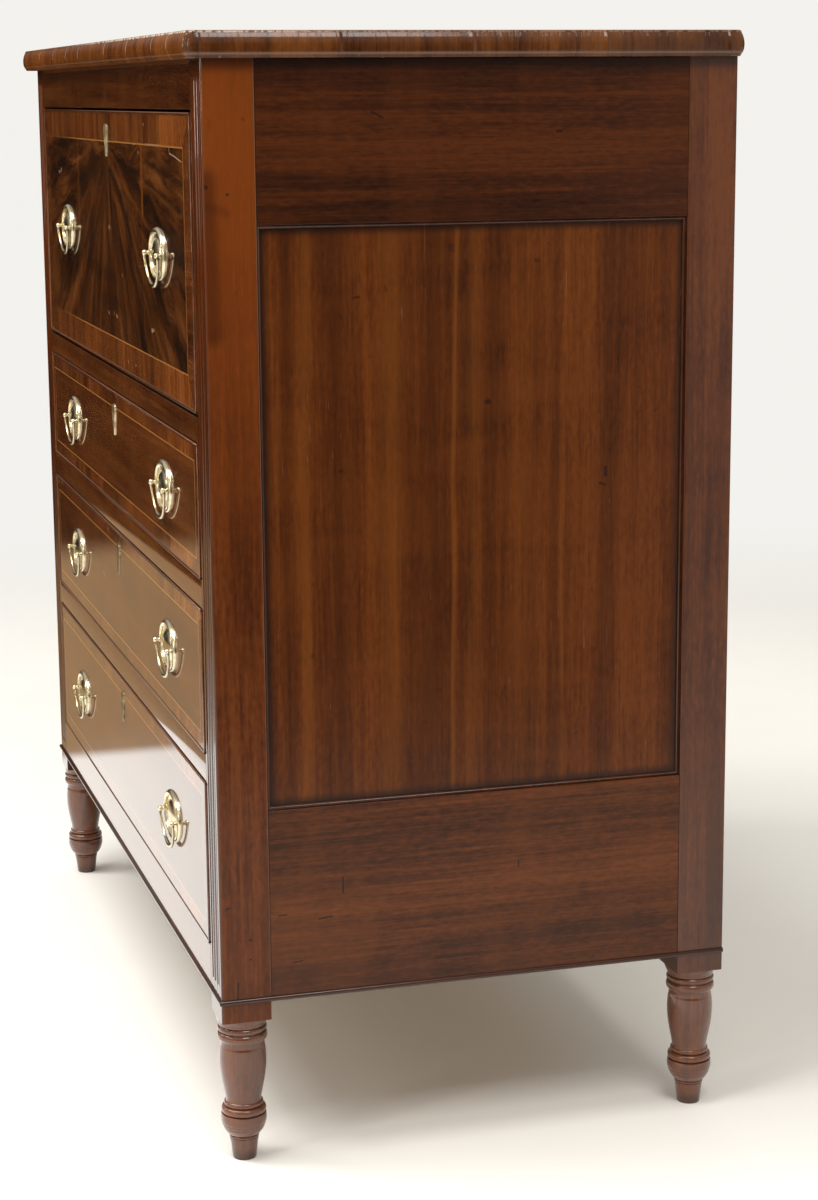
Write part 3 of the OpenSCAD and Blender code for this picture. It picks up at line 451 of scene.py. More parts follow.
# Pale cast of dust on the legs, together with a painted reflection of the pale floor.
DUST_AND_FLOOR_SHEEN: Colour = (0.21, 0.125, 0.095)
EMBER: Colour = (0.24, 0.075, 0.009)
FIGURE_DARK: Colour = (0.014, 0.0046, 0.0017)


@dataclass(frozen=True)
class Stroke:
    """Mark between two places on a flat face: a crack, a knot or a plume of the figure.

    Each place is the distance across, x on the front and y on a side, and the height, in metres.
    """

    start: tuple[float, float]
    end: tuple[float, float]
    half: float
    colour: Colour = GRIME_AND_SHADE
    amount: float = 0.8
    core: float = 0.4


@dataclass(frozen=True)
class Line:
    """Band of colour across a whole piece, at one place on the axis numbered 0 to 2, in metres."""

    axis: int
    place: float
    reach: float
    colour: Colour
    amount: float
    wander: float = 0.0


def stroked(g: Graph, across: Socket, up: Socket, colour: Socket, strokes: tuple[Stroke, ...]) -> Socket:
    """Paints strokes over a colour.

    A point's distance from a stroke is measured to the nearest place between its two ends.

    Args:
        g: The graph to add to.
        across: Distance across the face in metres.
        up: Height in metres.
        colour: The colour to mark.
        strokes: The marks.

    Returns:
        The marked colour.
    """
    spot = g.vector(across, up, 0.0)
    for stroke in strokes:
        run = Vector((*stroke.end, 0.0)) - Vector((*stroke.start, 0.0))
        offset = g.put("VectorMath", {0: spot, 1: (*stroke.start, 0.0)}, operation="SUBTRACT")
        unit = run / max(run.length_squared, 1e-9)
        share = g.put("VectorMath", {0: offset, 1: unit}, "Value", operation="DOT_PRODUCT")
        reached = g.put("VectorMath", {0: run, "Scale": g.put("Clamp", {0: share})}, operation="SCALE")
        far = g.put("VectorMath", {0: offset, 1: reached}, "Value", operation="DISTANCE")
        amount = g.step(far, stroke.half * stroke.core, stroke.half, stroke.amount, 0.0)
        colour = g.mix(amount, colour, stroke.colour)
    return colour


def lined(g: Graph, place: Socket, colour: Socket, lines: tuple[Line, ...]) -> Socket:
    """Paints lines over a colour.

    Args:
        g: The graph to add to.
        place: Coordinates in metres.
        colour: The colour to mark.
        lines: The lines.

    Returns:
        The marked colour.
    """
    axes = g.split(place)
    drift = g.math("SUBTRACT", g.noise(g.scaled(place, (4, 4, 1.5)), 1.0, 3.0, 0.6), 0.5)
    for line in lines:
        value = g.math("MULTIPLY_ADD", drift, line.wander, axes[line.axis])
        amount = g.step(g.gap(value, line.place), 0.0, line.reach, line.amount, 0.0)
        colour = g.mix(amount, colour, line.colour)
    return colour


def fibres(g: Graph, along: Socket, palette: Palette, bands: float, contrast: float) -> tuple[Socket, Socket]:
    """Draws plain wood whose fibres run along the third coordinate.

    The tone is a sum of four noises, each stretched along the fibres: wide bands, streaks of a
    few millimetres, fine streaks and short flecks. Short dark pores lie over it, and over all a
    pale cross-grain mottle, which is painted sheen.

    Args:
        g: The graph to add to.
        along: Coordinates in metres, the third along the fibres.
        palette: Tones of the wood.
        bands: Number of wide bands in a metre.
        contrast: How far the tone leaves its middle.

    Returns:
        The colour, and a height for the bump.
    """
    wide = g.noise(g.scaled(along, (bands, bands, bands * 0.06)), 1.0, 2.0, 0.55, 0.4)
    streak = g.noise(g.scaled(along, (85, 85, 2.4)), 1.0, 3.0, 0.62, 0.3)
    fine = g.noise(g.scaled(along, (400, 400, 12)), 1.0, 3.0, 0.65)
    fleck = g.noise(g.scaled(along, (230, 230, 85)), 1.0, 2.0, 0.6)
    tone = g.math("MULTIPLY_ADD", streak, 0.9, g.math("MULTIPLY", fine, 0.6))
    tone = g.math("MULTIPLY_ADD", wide, 1.1, g.math("MULTIPLY_ADD", fleck, 0.6, tone))
    tone = g.math("MULTIPLY_ADD", g.math("SUBTRACT", tone, 1.60), contrast, 0.5)
    colour = g.ramp(tone, (0.10, palette.dark), (0.5, palette.middle), (0.90, palette.light))
    pore = g.step(g.noise(g.scaled(along, (800, 800, 34)), 1.0, 2.0, 0.6), 0.56, 0.70)
    colour = g.mix(g.times(pore, 0.22), colour, palette.dark)
    # Painted sheen: a pale cross-grain mottle that stands in for the light the figure catches.
    painted_sheen = g.step(g.noise(g.scaled(along, (6, 6, 15)), 1.0, 2.0, 0.5, 0.5), 0.35, 0.7, 0.0, 0.3)
    return g.mix(painted_sheen, colour, palette.light), g.math("SUBTRACT", fine, pore)


def worn(g: Graph, place: Socket, colour: Socket, amount: float) -> Socket:
    """Adds sparse pale scratches and small dark bruises.

    Args:
        g: The graph to add to.
        place: Coordinates in metres.
        colour: The colour to mark.
        amount: Strength of the marks.

    Returns:
        The marked colour.
    """
    scratch = g.noise(g.scaled(place, (700, 700, 26), (3, 1, 2)), 1.0, 1.0, 0.4, 1.2)
    where = g.step(g.noise(place, 7.0, 1.0), 0.50, 0.64)
    colour = g.mix(g.times(g.step(scratch, 0.73, 0.77), where, amount), colour, SCRATCH)
    bruise = g.step(g.noise(place, 60.0, 2.0, 0.5), 0.70, 0.76)
    return g.mix(g.times(bruise, amount), colour, GRIME_AND_SHADE)


def polished(g: Graph, colour: Socket, height: Socket, place: Socket, polish: Polish) -> None:
    """Ends a wood material: base colour, polish, fine relief and slow ripples in the surface.

    Args:
        g: The graph to add to.
        colour: The wood's colour.
        height: Fine relief from 0 to 1.
        place: Coordinates in metres.
        polish: How the surface shines.
    """
    slow = g.noise(place, 3.4, 1.0, 0.4)
    ripple = g.put("Bump", {"Strength": 1.0, "Distance": polish.ripple, "Height": slow})
    relief = g.put("Bump", {"Strength": 1.0, "Distance": polish.pores, "Height": height, "Normal": ripple})
    inputs = {
        "Base Color": colour,
        "Roughness": polish.roughness,
        "Specular IOR Level": polish.sheen,
        "Normal": relief,
        "Coat Weight": polish.coat,
        "Coat Roughness": polish.coat_roughness,
        "Coat Normal": relief if polish.carved else ripple,
    }
    g.finish(g.put("BsdfPrincipled", inputs))


def turned_to(g: Graph, place: Socket, grain: Grain, seed: float) -> Socket:
    """Returns coordinates whose third runs along the grain, moved by seed so that no two pieces match."""
    x, y, z = g.split(place)
    order = {Grain.X: (y, z, x), Grain.Y: (z, x, y), Grain.Z: (x, y, z)}[grain]
    return g.scaled(g.vector(*order), (1, 1, 1), (seed * 1.7, seed * 0.9, seed * 2.3))


@dataclass(frozen=True)
class Wood:
    """Plain solid wood or plain veneer."""

    name: str
    palette: Palette
    grain: Grain
    seed: float = 0.0
    bands: float = 14.0
    contrast: float = 1.1
    wear: float = 0.35
    polish: Polish = Polish()
    # Strength of a painted glow that warms the tones towards the top.
    painted_glow_above: float = 0.0
    # Strength of the pale cast near the floor: dust and a painted reflection of the floor.
    dust_and_sheen_below: float = 0.0
    lines: tuple[Line, ...] = ()
    strokes: tuple[Stroke, ...] = ()

    def material(self) -> bpy.types.Material:
        """Returns the material, whose tones may warm towards the top with painted glow and pale at the legs
        with dust and painted floor sheen.
        """
        material, g = blank_material(self.name, self.palette.middle)
        place = g.here()
        along = turned_to(g, place, self.grain, self.seed)
        colour, height = fibres(g, along, self.palette, self.bands, self.contrast)
        _, y, z = g.split(place)
        # Painted glow: the tones turn orange and lighter towards the top, where the light falls.
        if self.painted_glow_above > 0:
            amount = g.step(z, 0.50, 1.12, 0.0, self.painted_glow_above)
            colour = g.mix(amount, colour, (1.0, 0.52, 0.12), "MULTIPLY")
            colour = g.mix(g.times(amount, 0.8), colour, (0.20, 0.048, 0.004))
        # Paler towards the floor: dust, and a painted reflection of the pale floor on the legs.
        if self.dust_and_sheen_below > 0:
            colour = g.mix(g.step(z, 0.12, 0.22, self.dust_and_sheen_below, 0.0), colour, DUST_AND_FLOOR_SHEEN)
        colour = lined(g, place, colour, self.lines)
        colour = stroked(g, y, z, colour, self.strokes)
        colour = worn(g, along, colour, self.wear)
        polished(g, colour, height, along, self.polish)
        return material


@dataclass(frozen=True)
class BareWood:
    """Unpolished inner wood that has greyed in patches."""

    name: str
    palette: Palette
    grain: Grain
    seed: float = 0.0
    boards: float = 0.0
    greyed: Colour = (0.17, 0.12, 0.075)
    dark_plank: Colour = (0.09, 0.055, 0.03)

    def material(self) -> bpy.types.Material:
        """Returns the material; boards is the width of planks whose tones differ, or 0."""
        material, g = blank_material(self.name, self.palette.middle)
        place = g.here()
        along = turned_to(g, place, self.grain, self.seed)
        colour, height = fibres(g, along, self.palette, 30.0, 1.5)
        patch = g.step(g.noise(place, 5.0, 3.0, 0.6), 0.35, 0.75, 0.0, 0.35)
        colour = g.mix(patch, colour, self.greyed)
        if self.boards > 0:
            x, _, _ = g.split(place)
            plank = g.math("FLOOR", g.math("DIVIDE", g.math("ADD", x, 2.5 * self.boards), self.boards))
            tone = g.put("TexWhiteNoise", {"W": plank}, noise_dimensions="1D")
            colour = g.mix(g.times(tone, 0.4), colour, self.dark_plank)
        relief = g.put("Bump", {"Strength": 0.6, "Distance": 0.00015, "Height": height})
        g.finish(g.put("BsdfPrincipled", {"Base Color": colour, "Roughness": 0.78, "Normal": relief}))
        return material


class Figure(Enum):
    """Kind of veneer inside the string inlay of a drawer front."""

    FLAME = "flame"
    PLAIN = "plain"


@dataclass(frozen=True)
class Front:
    """Veneered front with a string inlay and a cross-banded margin outside it."""

    name: str
    figure: Figure
    centre_z: float
    half_x: float
    half_z: float
    seed: float
    polish: Polish = Polish(0.32, 1.0, 0.03, 0.0004, 0.000004, 0.04)
    apex_z: float = 1.036
    string_half: tuple[float, float] = (0.0004, 0.0010)
    leaf_joints: tuple[float, ...] = (-0.213, 0.215)
    band_joints: tuple[float, ...] = (-0.423, -0.188, -0.070, 0.032, 0.212, 0.330, 0.444)
    band_tones: tuple[float, ...] = (0.55, 0.62, 0.80, 0.55, 0.70, 0.60, 0.95, 0.80)

    def plumes(self) -> tuple[Stroke, ...]:
        """Returns the named plumes of the figure, all of which fan down from below the keyhole."""
        deep, ember, tan = FIGURE_DARK, (0.19, 0.056, 0.007), (0.12, 0.043, 0.011)
        curves = (
            (ember, 0.006, 0.42, ((0.015, 1.017), (0.044, 0.976), (0.084, 0.959), (0.120, 0.924))),
            (deep, 0.012, 0.75, ((0.020, 1.006), (0.087, 0.977), (0.125, 0.955), (0.149, 0.932))),
            (ember, 0.006, 0.28, ((0.063, 1.003), (0.130, 0.985), (0.188, 0.969), (0.238, 0.956))),
            (ember, 0.006, 0.32, ((-0.062, 0.972), (-0.082, 0.952), (-0.110, 0.931))),
            (deep, 0.030, 0.60, ((-0.185, 0.985), (-0.090, 1.005), (-0.030, 1.010))),
            (deep, 0.020, 0.45, ((0.060, 1.018), (0.190, 1.000))),
            (deep, 0.007, 0.65, ((0.248, 1.022), (0.351, 1.011), (0.441, 1.003))),
            (deep, 0.006, 0.65, ((0.245, 1.000), (0.431, 0.974))),
            (tan, 0.004, 0.45, ((0.251, 0.995), (0.436, 0.971))),
            (deep, 0.008, 0.50, ((0.221, 0.971), (0.276, 0.956))),
            (deep, 0.016, 0.55, ((-0.056, 0.855), (0.056, 0.855))),
            (deep, 0.013, 0.45, ((-0.142, 0.890), (0.043, 0.883))),
            (ember, 0.009, 0.75, ((0.221, 1.037), (0.221, 0.966))),
            (ember, 0.004, 0.35, ((0.217, 0.966), (0.217, 0.830))),
            (ember, 0.007, 0.45, ((-0.214, 1.037), (-0.214, 0.930))),
        )
        return tuple(
            Stroke(a, b, half, colour, amount, 0.1)
            for colour, half, amount, points in curves
            for a, b in zip(points, points[1:])
        )

    def flame(self, g: Graph, x: Socket, z: Socket) -> tuple[Socket, Socket]:
        """Draws a feather figure that fans down and outwards from below the keyhole.

        The tone depends on the angle at the fan's apex, bent a little, so every streak is a ray
        of the fan; noise drawn along the rays gives wide plumes, streaks and fine lines.

        Args:
            g: The graph to add to.
            x: Place across the front in metres.
            z: Place up the front in metres.

        Returns:
            The colour, and a height for the bump.
        """
        wave = g.noise(g.vector(x, self.seed, z), 9.0, 3.0, 0.6)
        side = g.math("ABSOLUTE", x)
        drop = g.math("SUBTRACT", g.math("MULTIPLY_ADD", wave, 0.05, self.apex_z - 0.025), z)
        angle = g.math("ARCTAN2", drop, side)
        half = g.math("SIGN", x)
        far = g.put("VectorMath", {0: g.vector(side, drop, 0.0)}, "Value", operation="LENGTH")
        noises = [
            g.noise(g.vector(g.times(angle, a), g.times(far, f), half), 1.0, 3.0, 0.6)
            for a, f in ((6.0, 5.0), (34.0, 8.0), (150.0, 14.0))
        ]
        tone = g.math("MULTIPLY_ADD", noises[1], 1.5, g.times(noises[2], 0.9))
        tone = g.math("SUBTRACT", g.math("MULTIPLY_ADD", noises[0], 2.2, tone), 1.85)
        stops = (
            (0.08, FIGURE_DARK), (0.42, (0.050, 0.0135, 0.0026)), (0.68, (0.092, 0.0270, 0.0052)),
            (0.95, (0.150, 0.048, 0.0100)),
        )
        colour = g.ramp(tone, *stops)
        warp = g.math("MULTIPLY_ADD", noises[1], 0.012, -0.006)
        colour = stroked(g, g.math("ADD", x, warp), g.math("ADD", z, warp), colour, self.plumes())
        seam = g.step(g.nearest(x, self.leaf_joints), 0.0002, 0.0009, 0.7, 0.0)
        return g.mix(seam, colour, GRIME_AND_SHADE), noises[2]

    def chips(self) -> tuple[Stroke, ...]:
        """Returns the pale chips and the crack in the band above the fall's figure."""
        points = ((0.378, 1.038), (0.383, 1.032), (0.405, 1.030), (0.443, 1.025))
        crack = [Stroke(a, b, 0.0009, PALE_WEAR_AND_GLINT, 0.9) for a, b in zip(points, points[1:])]
        spots = (
            ((0.178, 1.038), (0.184, 1.038)),
            ((0.204, 1.031), (0.206, 1.029)),
            ((0.251, 1.039), (0.331, 1.039)),
        )
        return tuple(crack + [Stroke(a, b, 0.0012, PALE_WEAR_AND_GLINT, 0.8) for a, b in spots])

    def material(self) -> bpy.types.Material:
        """Returns the material: the figure within the string, the cross-banding outside it."""
        material, g = blank_material(self.name, FRONT_WOOD.middle)
        place = g.here()
        x, _, z = g.split(place)
        if self.figure is Figure.FLAME:
            colour, height = self.flame(g, x, z)
        else:
            along = turned_to(g, place, Grain.X, self.seed)
            colour, height = fibres(g, along, FRONT_WOOD, 22.0, 1.0)
        dx = g.math("SUBTRACT", g.math("ABSOLUTE", x), self.half_x)
        dz = g.math("SUBTRACT", g.gap(z, self.centre_z), self.half_z)
        beyond = g.math("MAXIMUM", dx, dz)
        upright, _ = fibres(g, turned_to(g, place, Grain.Z, self.seed + 3), FRONT_WOOD.warmed(2.0), 30.0, 1.2)
        level, _ = fibres(g, turned_to(g, place, Grain.X, self.seed + 5), FRONT_WOOD, 30.0, 1.2)
        tones = g.pieces(x, self.band_joints, self.band_tones, 0.5)
        seam = g.step(g.nearest(x, self.band_joints), 0.0002, 0.0008, 0.6, 0.0)
        upright = g.mix(seam, g.mix(1.0, upright, tones, "MULTIPLY"), GRIME_AND_SHADE)
        band = g.mix(g.math("GREATER_THAN", dx, dz), upright, level)
        colour = g.mix(g.step(beyond, 0.0004, 0.0009), colour, band)
        shown = 1.0
        if self.figure is Figure.FLAME:
            colour = stroked(g, x, z, colour, self.chips())
            shown = g.step(x, -0.44, -0.12, 0.12, 1.0)
        string = g.times(g.step(g.math("ABSOLUTE", beyond), *self.string_half, 1.0, 0.0), shown)
        tint = g.mix(g.noise(place, 55.0, 2.0), BOXWOOD, (0.34, 0.150, 0.032))
        colour = g.mix(string, colour, tint)
        chip = g.noise(g.scaled(place, (38, 38, 60), (self.seed, 0, 0)), 1.0, 3.0, 0.6)
        near = g.step(g.noise(place, 4.0, 1.0), 0.50, 0.66)
        colour = g.mix(g.times(g.step(chip, 0.70, 0.73), near), colour, (0.32, 0.21, 0.12))
        polished(g, colour, height, place, self.polish)
        return material


@dataclass(frozen=True)
class TopVeneer:
    """Veneer of the top: long grain above, short upright pieces round the edge."""

    name: str
    low_z: float
    edge_h: float
    half_x: float
    side_joints: tuple[float, ...] = (-0.274, -0.136, -0.002, 0.138, 0.270)
    side_tones: tuple[float, ...] = (0.50, 0.62, 0.52, 0.58, 0.44, 0.52)
    front_joints: tuple[float, ...] = (-0.395, -0.279, -0.173, -0.080, 0.104, 0.244, 0.388, 0.467)
    front_tones: tuple[float, ...] = (1.0, 0.92, 0.96, 0.84, 0.90, 0.78, 0.86, 0.92, 0.86)
    round_w: float = 0.010
    low_glint_z: float = 0.0042
    arris_glint_drop: float = 0.0014
    ridge: float = 9.0
    polish: Polish = Polish(0.34, 0.55, 0.07, 0.0006, 0.00006, carved=True)

    def rim(self, g: Graph, place: Socket, rise: Socket) -> tuple[Socket, Socket, Socket]:
        """Draws the edge: short upright pieces, whose joints stand up a little and catch the light.

        Painted glints lie beside the joints on the front, a painted highlight line runs above the
        lower arris, and painted highlight specks run along the upper arris.

        Args:
            g: The graph to add to.
            place: Coordinates in metres.
            rise: Height over the board's lower face.

        Returns:
            The colour, the fine relief, and the distance to the nearest joint.
        """
        x, y, _ = g.split(place)
        u, v, _ = g.split(g.put("TexCoord", out="UV"))
        rim, relief = fibres(g, g.vector(u, 0.3, v), EDGE_WOOD, 26.0, 1.3)
        beside = g.math("GREATER_THAN", g.math("ABSOLUTE", x), self.half_x - self.round_w)
        side = g.pieces(y, self.side_joints, self.side_tones, 0.3)
        front = g.pieces(x, self.front_joints, self.front_tones, 0.56)
        rim = g.mix(1.0, rim, g.mix(beside, front, side), "MULTIPLY")
        to_joint = g.mix(beside, g.nearest(x, self.front_joints), g.nearest(y, self.side_joints))
        gap = g.math("ADD", to_joint, g.times(g.noise(place, 90.0), 0.0006))
        # Painted glint: pale streaks beside the front's joints, over the middle of the edge's height.
        upper = g.times(g.step(rise, 0.007, 0.014), g.step(rise, 0.021, 0.025, 1.0, 0.0))
        glint = g.times(g.step(gap, 0.0006, 0.0034, 0.45, 0.0), upper, g.math("SUBTRACT", 1.0, beside))
        rim = g.mix(glint, rim, (0.50, 0.40, 0.33))
        # Painted highlight: a pale line just above the lower arris.
        rim = g.mix(g.step(g.gap(rise, self.low_glint_z), 0.0004, 0.0011, 0.5, 0.0), rim, (0.20, 0.12, 0.075))
        # Painted highlight: pale specks along the upper arris, strongest on the front's right part and weaker
        # on the sides.
        speck = g.step(g.noise(g.scaled(place, (170, 170, 60)), 1.0, 2.0, 0.6), 0.42, 0.52)
        arris = g.step(g.gap(rise, self.edge_h - self.arris_glint_drop), 0.0004, 0.0013, 0.95, 0.0)
        along = g.mix(beside, g.step(x, -0.25, 0.25), g.step(y, -0.10, -0.26, 0.12, 0.5))
        return g.mix(g.times(speck, arris, along), rim, (0.62, 0.50, 0.40)), relief, gap

    def material(self) -> bpy.types.Material:
        """Returns the material, which reads the piece's own texture positions on the edge."""
        material, g = blank_material(self.name, PANEL_WOOD.middle)
        place = g.here()
        _, _, z = g.split(place)
        rise = g.math("SUBTRACT", z, self.low_z)
        rim, rim_height, gap = self.rim(g, place, rise)
        top, top_height = fibres(g, turned_to(g, place, Grain.X, 2.0), PANEL_WOOD, 16.0, 1.3)
        above = g.step(rise, self.edge_h - 0.0004, self.edge_h - 0.0001)
        colour = g.mix(above, rim, top)
        chips = g.step(g.noise(g.scaled(place, (60, 60, 60)), 1.0, 2.0), 0.70, 0.74)
        colour = g.mix(g.times(chips, g.step(rise, 0.002, 0.006, 0.5, 0.0)), colour, (0.33, 0.20, 0.10))
        seam = g.times(g.step(gap, 0.0004, 0.0011, 1.0, 0.0), g.math("SUBTRACT", 0.7, above))
        colour = g.mix(seam, colour, (0.035, 0.016, 0.009))
        ridge = g.times(g.step(gap, 0.0006, 0.0045, self.ridge, 0.0), g.math("SUBTRACT", 1.0, above))
        height = g.math("ADD", g.mix(above, rim_height, top_height), ridge)
        polished(g, worn(g, place, colour, 0.3), height, place, self.polish)
        return material


@dataclass(frozen=True)
class Brass:
    """Cast brass, bright where hands rub it and olive brown in its hollows."""

    name: str
    bright: Colour = (0.70, 0.62, 0.43)
    dull: Colour = (0.31, 0.24, 0.13)
    roughness: float = 0.2
    tarnish: float = 0.5

    def material(self) -> bpy.types.Material:
        """Returns the material."""
        material, g = blank_material(self.name, self.bright)
        place = g.here()
        cloud = g.noise(place, 90.0, 4.0, 0.65)
        stain = g.times(g.step(cloud, 0.42, 0.68), self.tarnish)
        colour = g.mix(stain, self.bright, self.dull)
        grain = g.noise(place, 900.0, 2.0, 0.6)
        relief = g.put("Bump", {"Strength": 0.4, "Distance": 0.00008, "Height": grain})
        rough = g.math("MULTIPLY_ADD", stain, 0.22, self.roughness)
        inputs = {"Base Color": colour, "Metallic": 1.0, "Roughness": rough, "Normal": relief}
        g.finish(g.put("BsdfPrincipled", inputs))
        return material


@dataclass(frozen=True)
class Shadow:
    """Dark inside of a keyhole."""

    name: str

    def material(self) -> bpy.types.Material:
        """Returns the material."""
        material, g = blank_material(self.name, GRIME_AND_SHADE)
        speck = g.mix(g.noise(g.here(), 400.0, 2.0), (0.004, 0.003, 0.002), (0.012, 0.008, 0.005))
        g.finish(g.put("BsdfPrincipled", {"Base Color": speck, "Roughness": 0.8}))
        return material


Finish = Wood | BareWood | Front | TopVeneer | Brass | Shadow


class Workshop:
    """Makes the objects and keeps one material for each finish."""

    def __init__(self) -> None:
        """Starts with no materials."""
        self.materials: dict[str, bpy.types.Material] = {}
        self.pieces: list[bpy.types.Object] = []

    def material(self, finish: Finish) -> bpy.types.Material:
        """Returns the material of a finish, made once."""
        if finish.name not in self.materials:
            self.materials[finish.name] = finish.material()
        return self.materials[finish.name]

    def piece(
        self, name: str, shell: Shell, finish: Finish, body: str, slot: str, crease: float = 40.0,
        others: tuple[tuple[Finish, Callable[[np.ndarray, np.ndarray], np.ndarray]], ...] = (),
    ) -> bpy.types.Object:
        """Makes an object from a shell, gives it a finish and lets it ride on a body.

        Args:
            name: The piece's name.
            shell: Its surface, in the chest's frame.
            finish: What it is made of.
            body: The body that it moves with.
            slot: The record's material slot; not used.
            crease: Angle in degrees above which an edge stays sharp.
            others: Further finishes, each with a test that takes the faces' middles and directions
                and returns which of them it covers.

        Returns:
            The object.
        """
        mesh = bpy.data.meshes.new(name)
        mesh.from_pydata(shell.points, [], shell.quads.tolist() + [c.tolist() for c in shell.caps])
        if shell.uv is not None:
            layer = mesh.uv_layers.new(name="UVMap")
            flat = np.zeros((len(mesh.loops), 2), np.float32)
            flat[: shell.uv.shape[0] * 4] = shell.uv.reshape(-1, 2)
            layer.data.foreach_set("uv", flat.ravel())
        if shell.normals is None:
            work = bmesh.new()
            work.from_mesh(mesh)
            bmesh.ops.recalc_face_normals(work, faces=work.faces)
            work.to_mesh(mesh)
            work.free()
            mesh.shade_smooth()
            mesh.set_sharp_from_angle(angle=math.radians(crease))
        else:
            mesh.shade_smooth()
            mesh.normals_split_custom_set_from_vertices(shell.normals.tolist())
        mesh.materials.append(self.material(finish))
        if others:
            facing, middle = np.zeros(len(mesh.polygons) * 3), np.zeros(len(mesh.polygons) * 3)
            mesh.polygons.foreach_get("normal", facing)
            mesh.polygons.foreach_get("center", middle)
            index = np.zeros(len(mesh.polygons), np.int32)
            for number, (other, covers) in enumerate(others, start=1):
                mesh.materials.append(self.material(other))
                index[covers(middle.reshape(-1, 3), facing.reshape(-1, 3))] = number
            mesh.polygons.foreach_set("material_index", index)
        piece = bpy.data.objects.new(name, mesh)
        bpy.context.scene.collection.objects.link(piece)
        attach(piece, body)
        self.pieces.append(piece)
        log.info("%s rides on %s: %d points", name, body, len(shell.points))
        return piece

    def dress(self, node: bpy.types.Object, finish: Finish) -> None:
        """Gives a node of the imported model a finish."""
        material = self.material(finish)
        for slot in node.material_slots:
            slot.material = material
        if not node.material_slots:
            node.data.materials.append(material)
        log.info("%s is dressed in %s", node.name, finish.name)


# Sub-assemblies


@dataclass
class TopBoard:
    """The top with its cushion edge."""

    shop: Workshop
    corner: float = 12 * MM
    swell: float = 3.2 * MM
    arris: float = 2.2 * MM
    apron: float = 60 * MM

    def rim(self, low: Vector, high: Vector, inset: np.ndarray, height: np.ndarray) -> np.ndarray:
        """Carries the edge's profile round a rounded rectangle.

        Args:
            low: Lowest corner of the board.
            high: Highest corner of the board.
            inset: How far each row lies inside the outline.
            height: How high each row lies.

        Returns:
            The grid of points, one row for each height.
        """
        quarter = np.linspace(0, math.pi / 2, 13)
        angle = np.concatenate([quarter + k * math.pi / 2 for k in range(4)])
        corner_x = np.repeat([1, -1, -1, 1], len(quarter))
        corner_y = np.repeat([1, 1, -1, -1], len(quarter))
        middle, half = (low + high) / 2, (high - low) / 2
        inset = inset[:, None]
        radius = np.maximum(self.corner - inset, 0.4 * MM)
        grid = np.zeros((len(inset), len(angle), 3))
        grid[..., 0] = middle.x + corner_x * (half.x - inset - radius) + radius * np.cos(angle)
        grid[..., 1] = middle.y + corner_y * (half.y - inset - radius) + radius * np.sin(angle)
        grid[..., 2] = height[:, None]
        return grid

    def build(self) -> None:
        """Makes the board: a shallow swell over the edge and a tight round at each arris."""
        low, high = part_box("top_board")
        t = high.z - low.z
        turn = np.linspace(0, math.pi / 2, 7)
        s = np.linspace(0, 1, 25)[1:-1]
        r = self.arris
        bulge = np.abs(2 * s**0.85 - 1) ** 2.2 * self.swell
        round_in = self.swell + r * (1 - np.sin(turn))
        flat = self.swell + r + 4 * MM
        inset = np.concatenate([[self.apron, flat], round_in, bulge, round_in[::-1], [flat, self.apron]])
        lower = r * (1 - np.cos(turn))
        rise = np.concatenate([[0, 0], lower, r + s * (t - 2 * r), t - lower[::-1], [t, t]])
        shell = woven(self.rim(low, high, inset, low.z + rise))
        shell.uv[..., 1] -= self.apron - self.swell - r
        finish = TopVeneer("top_veneer", low.z, t, high.x)
        top = self.shop.piece("top_with_cushion_edge", shell, finish, "case", "veneered_top")
        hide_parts("top_board")


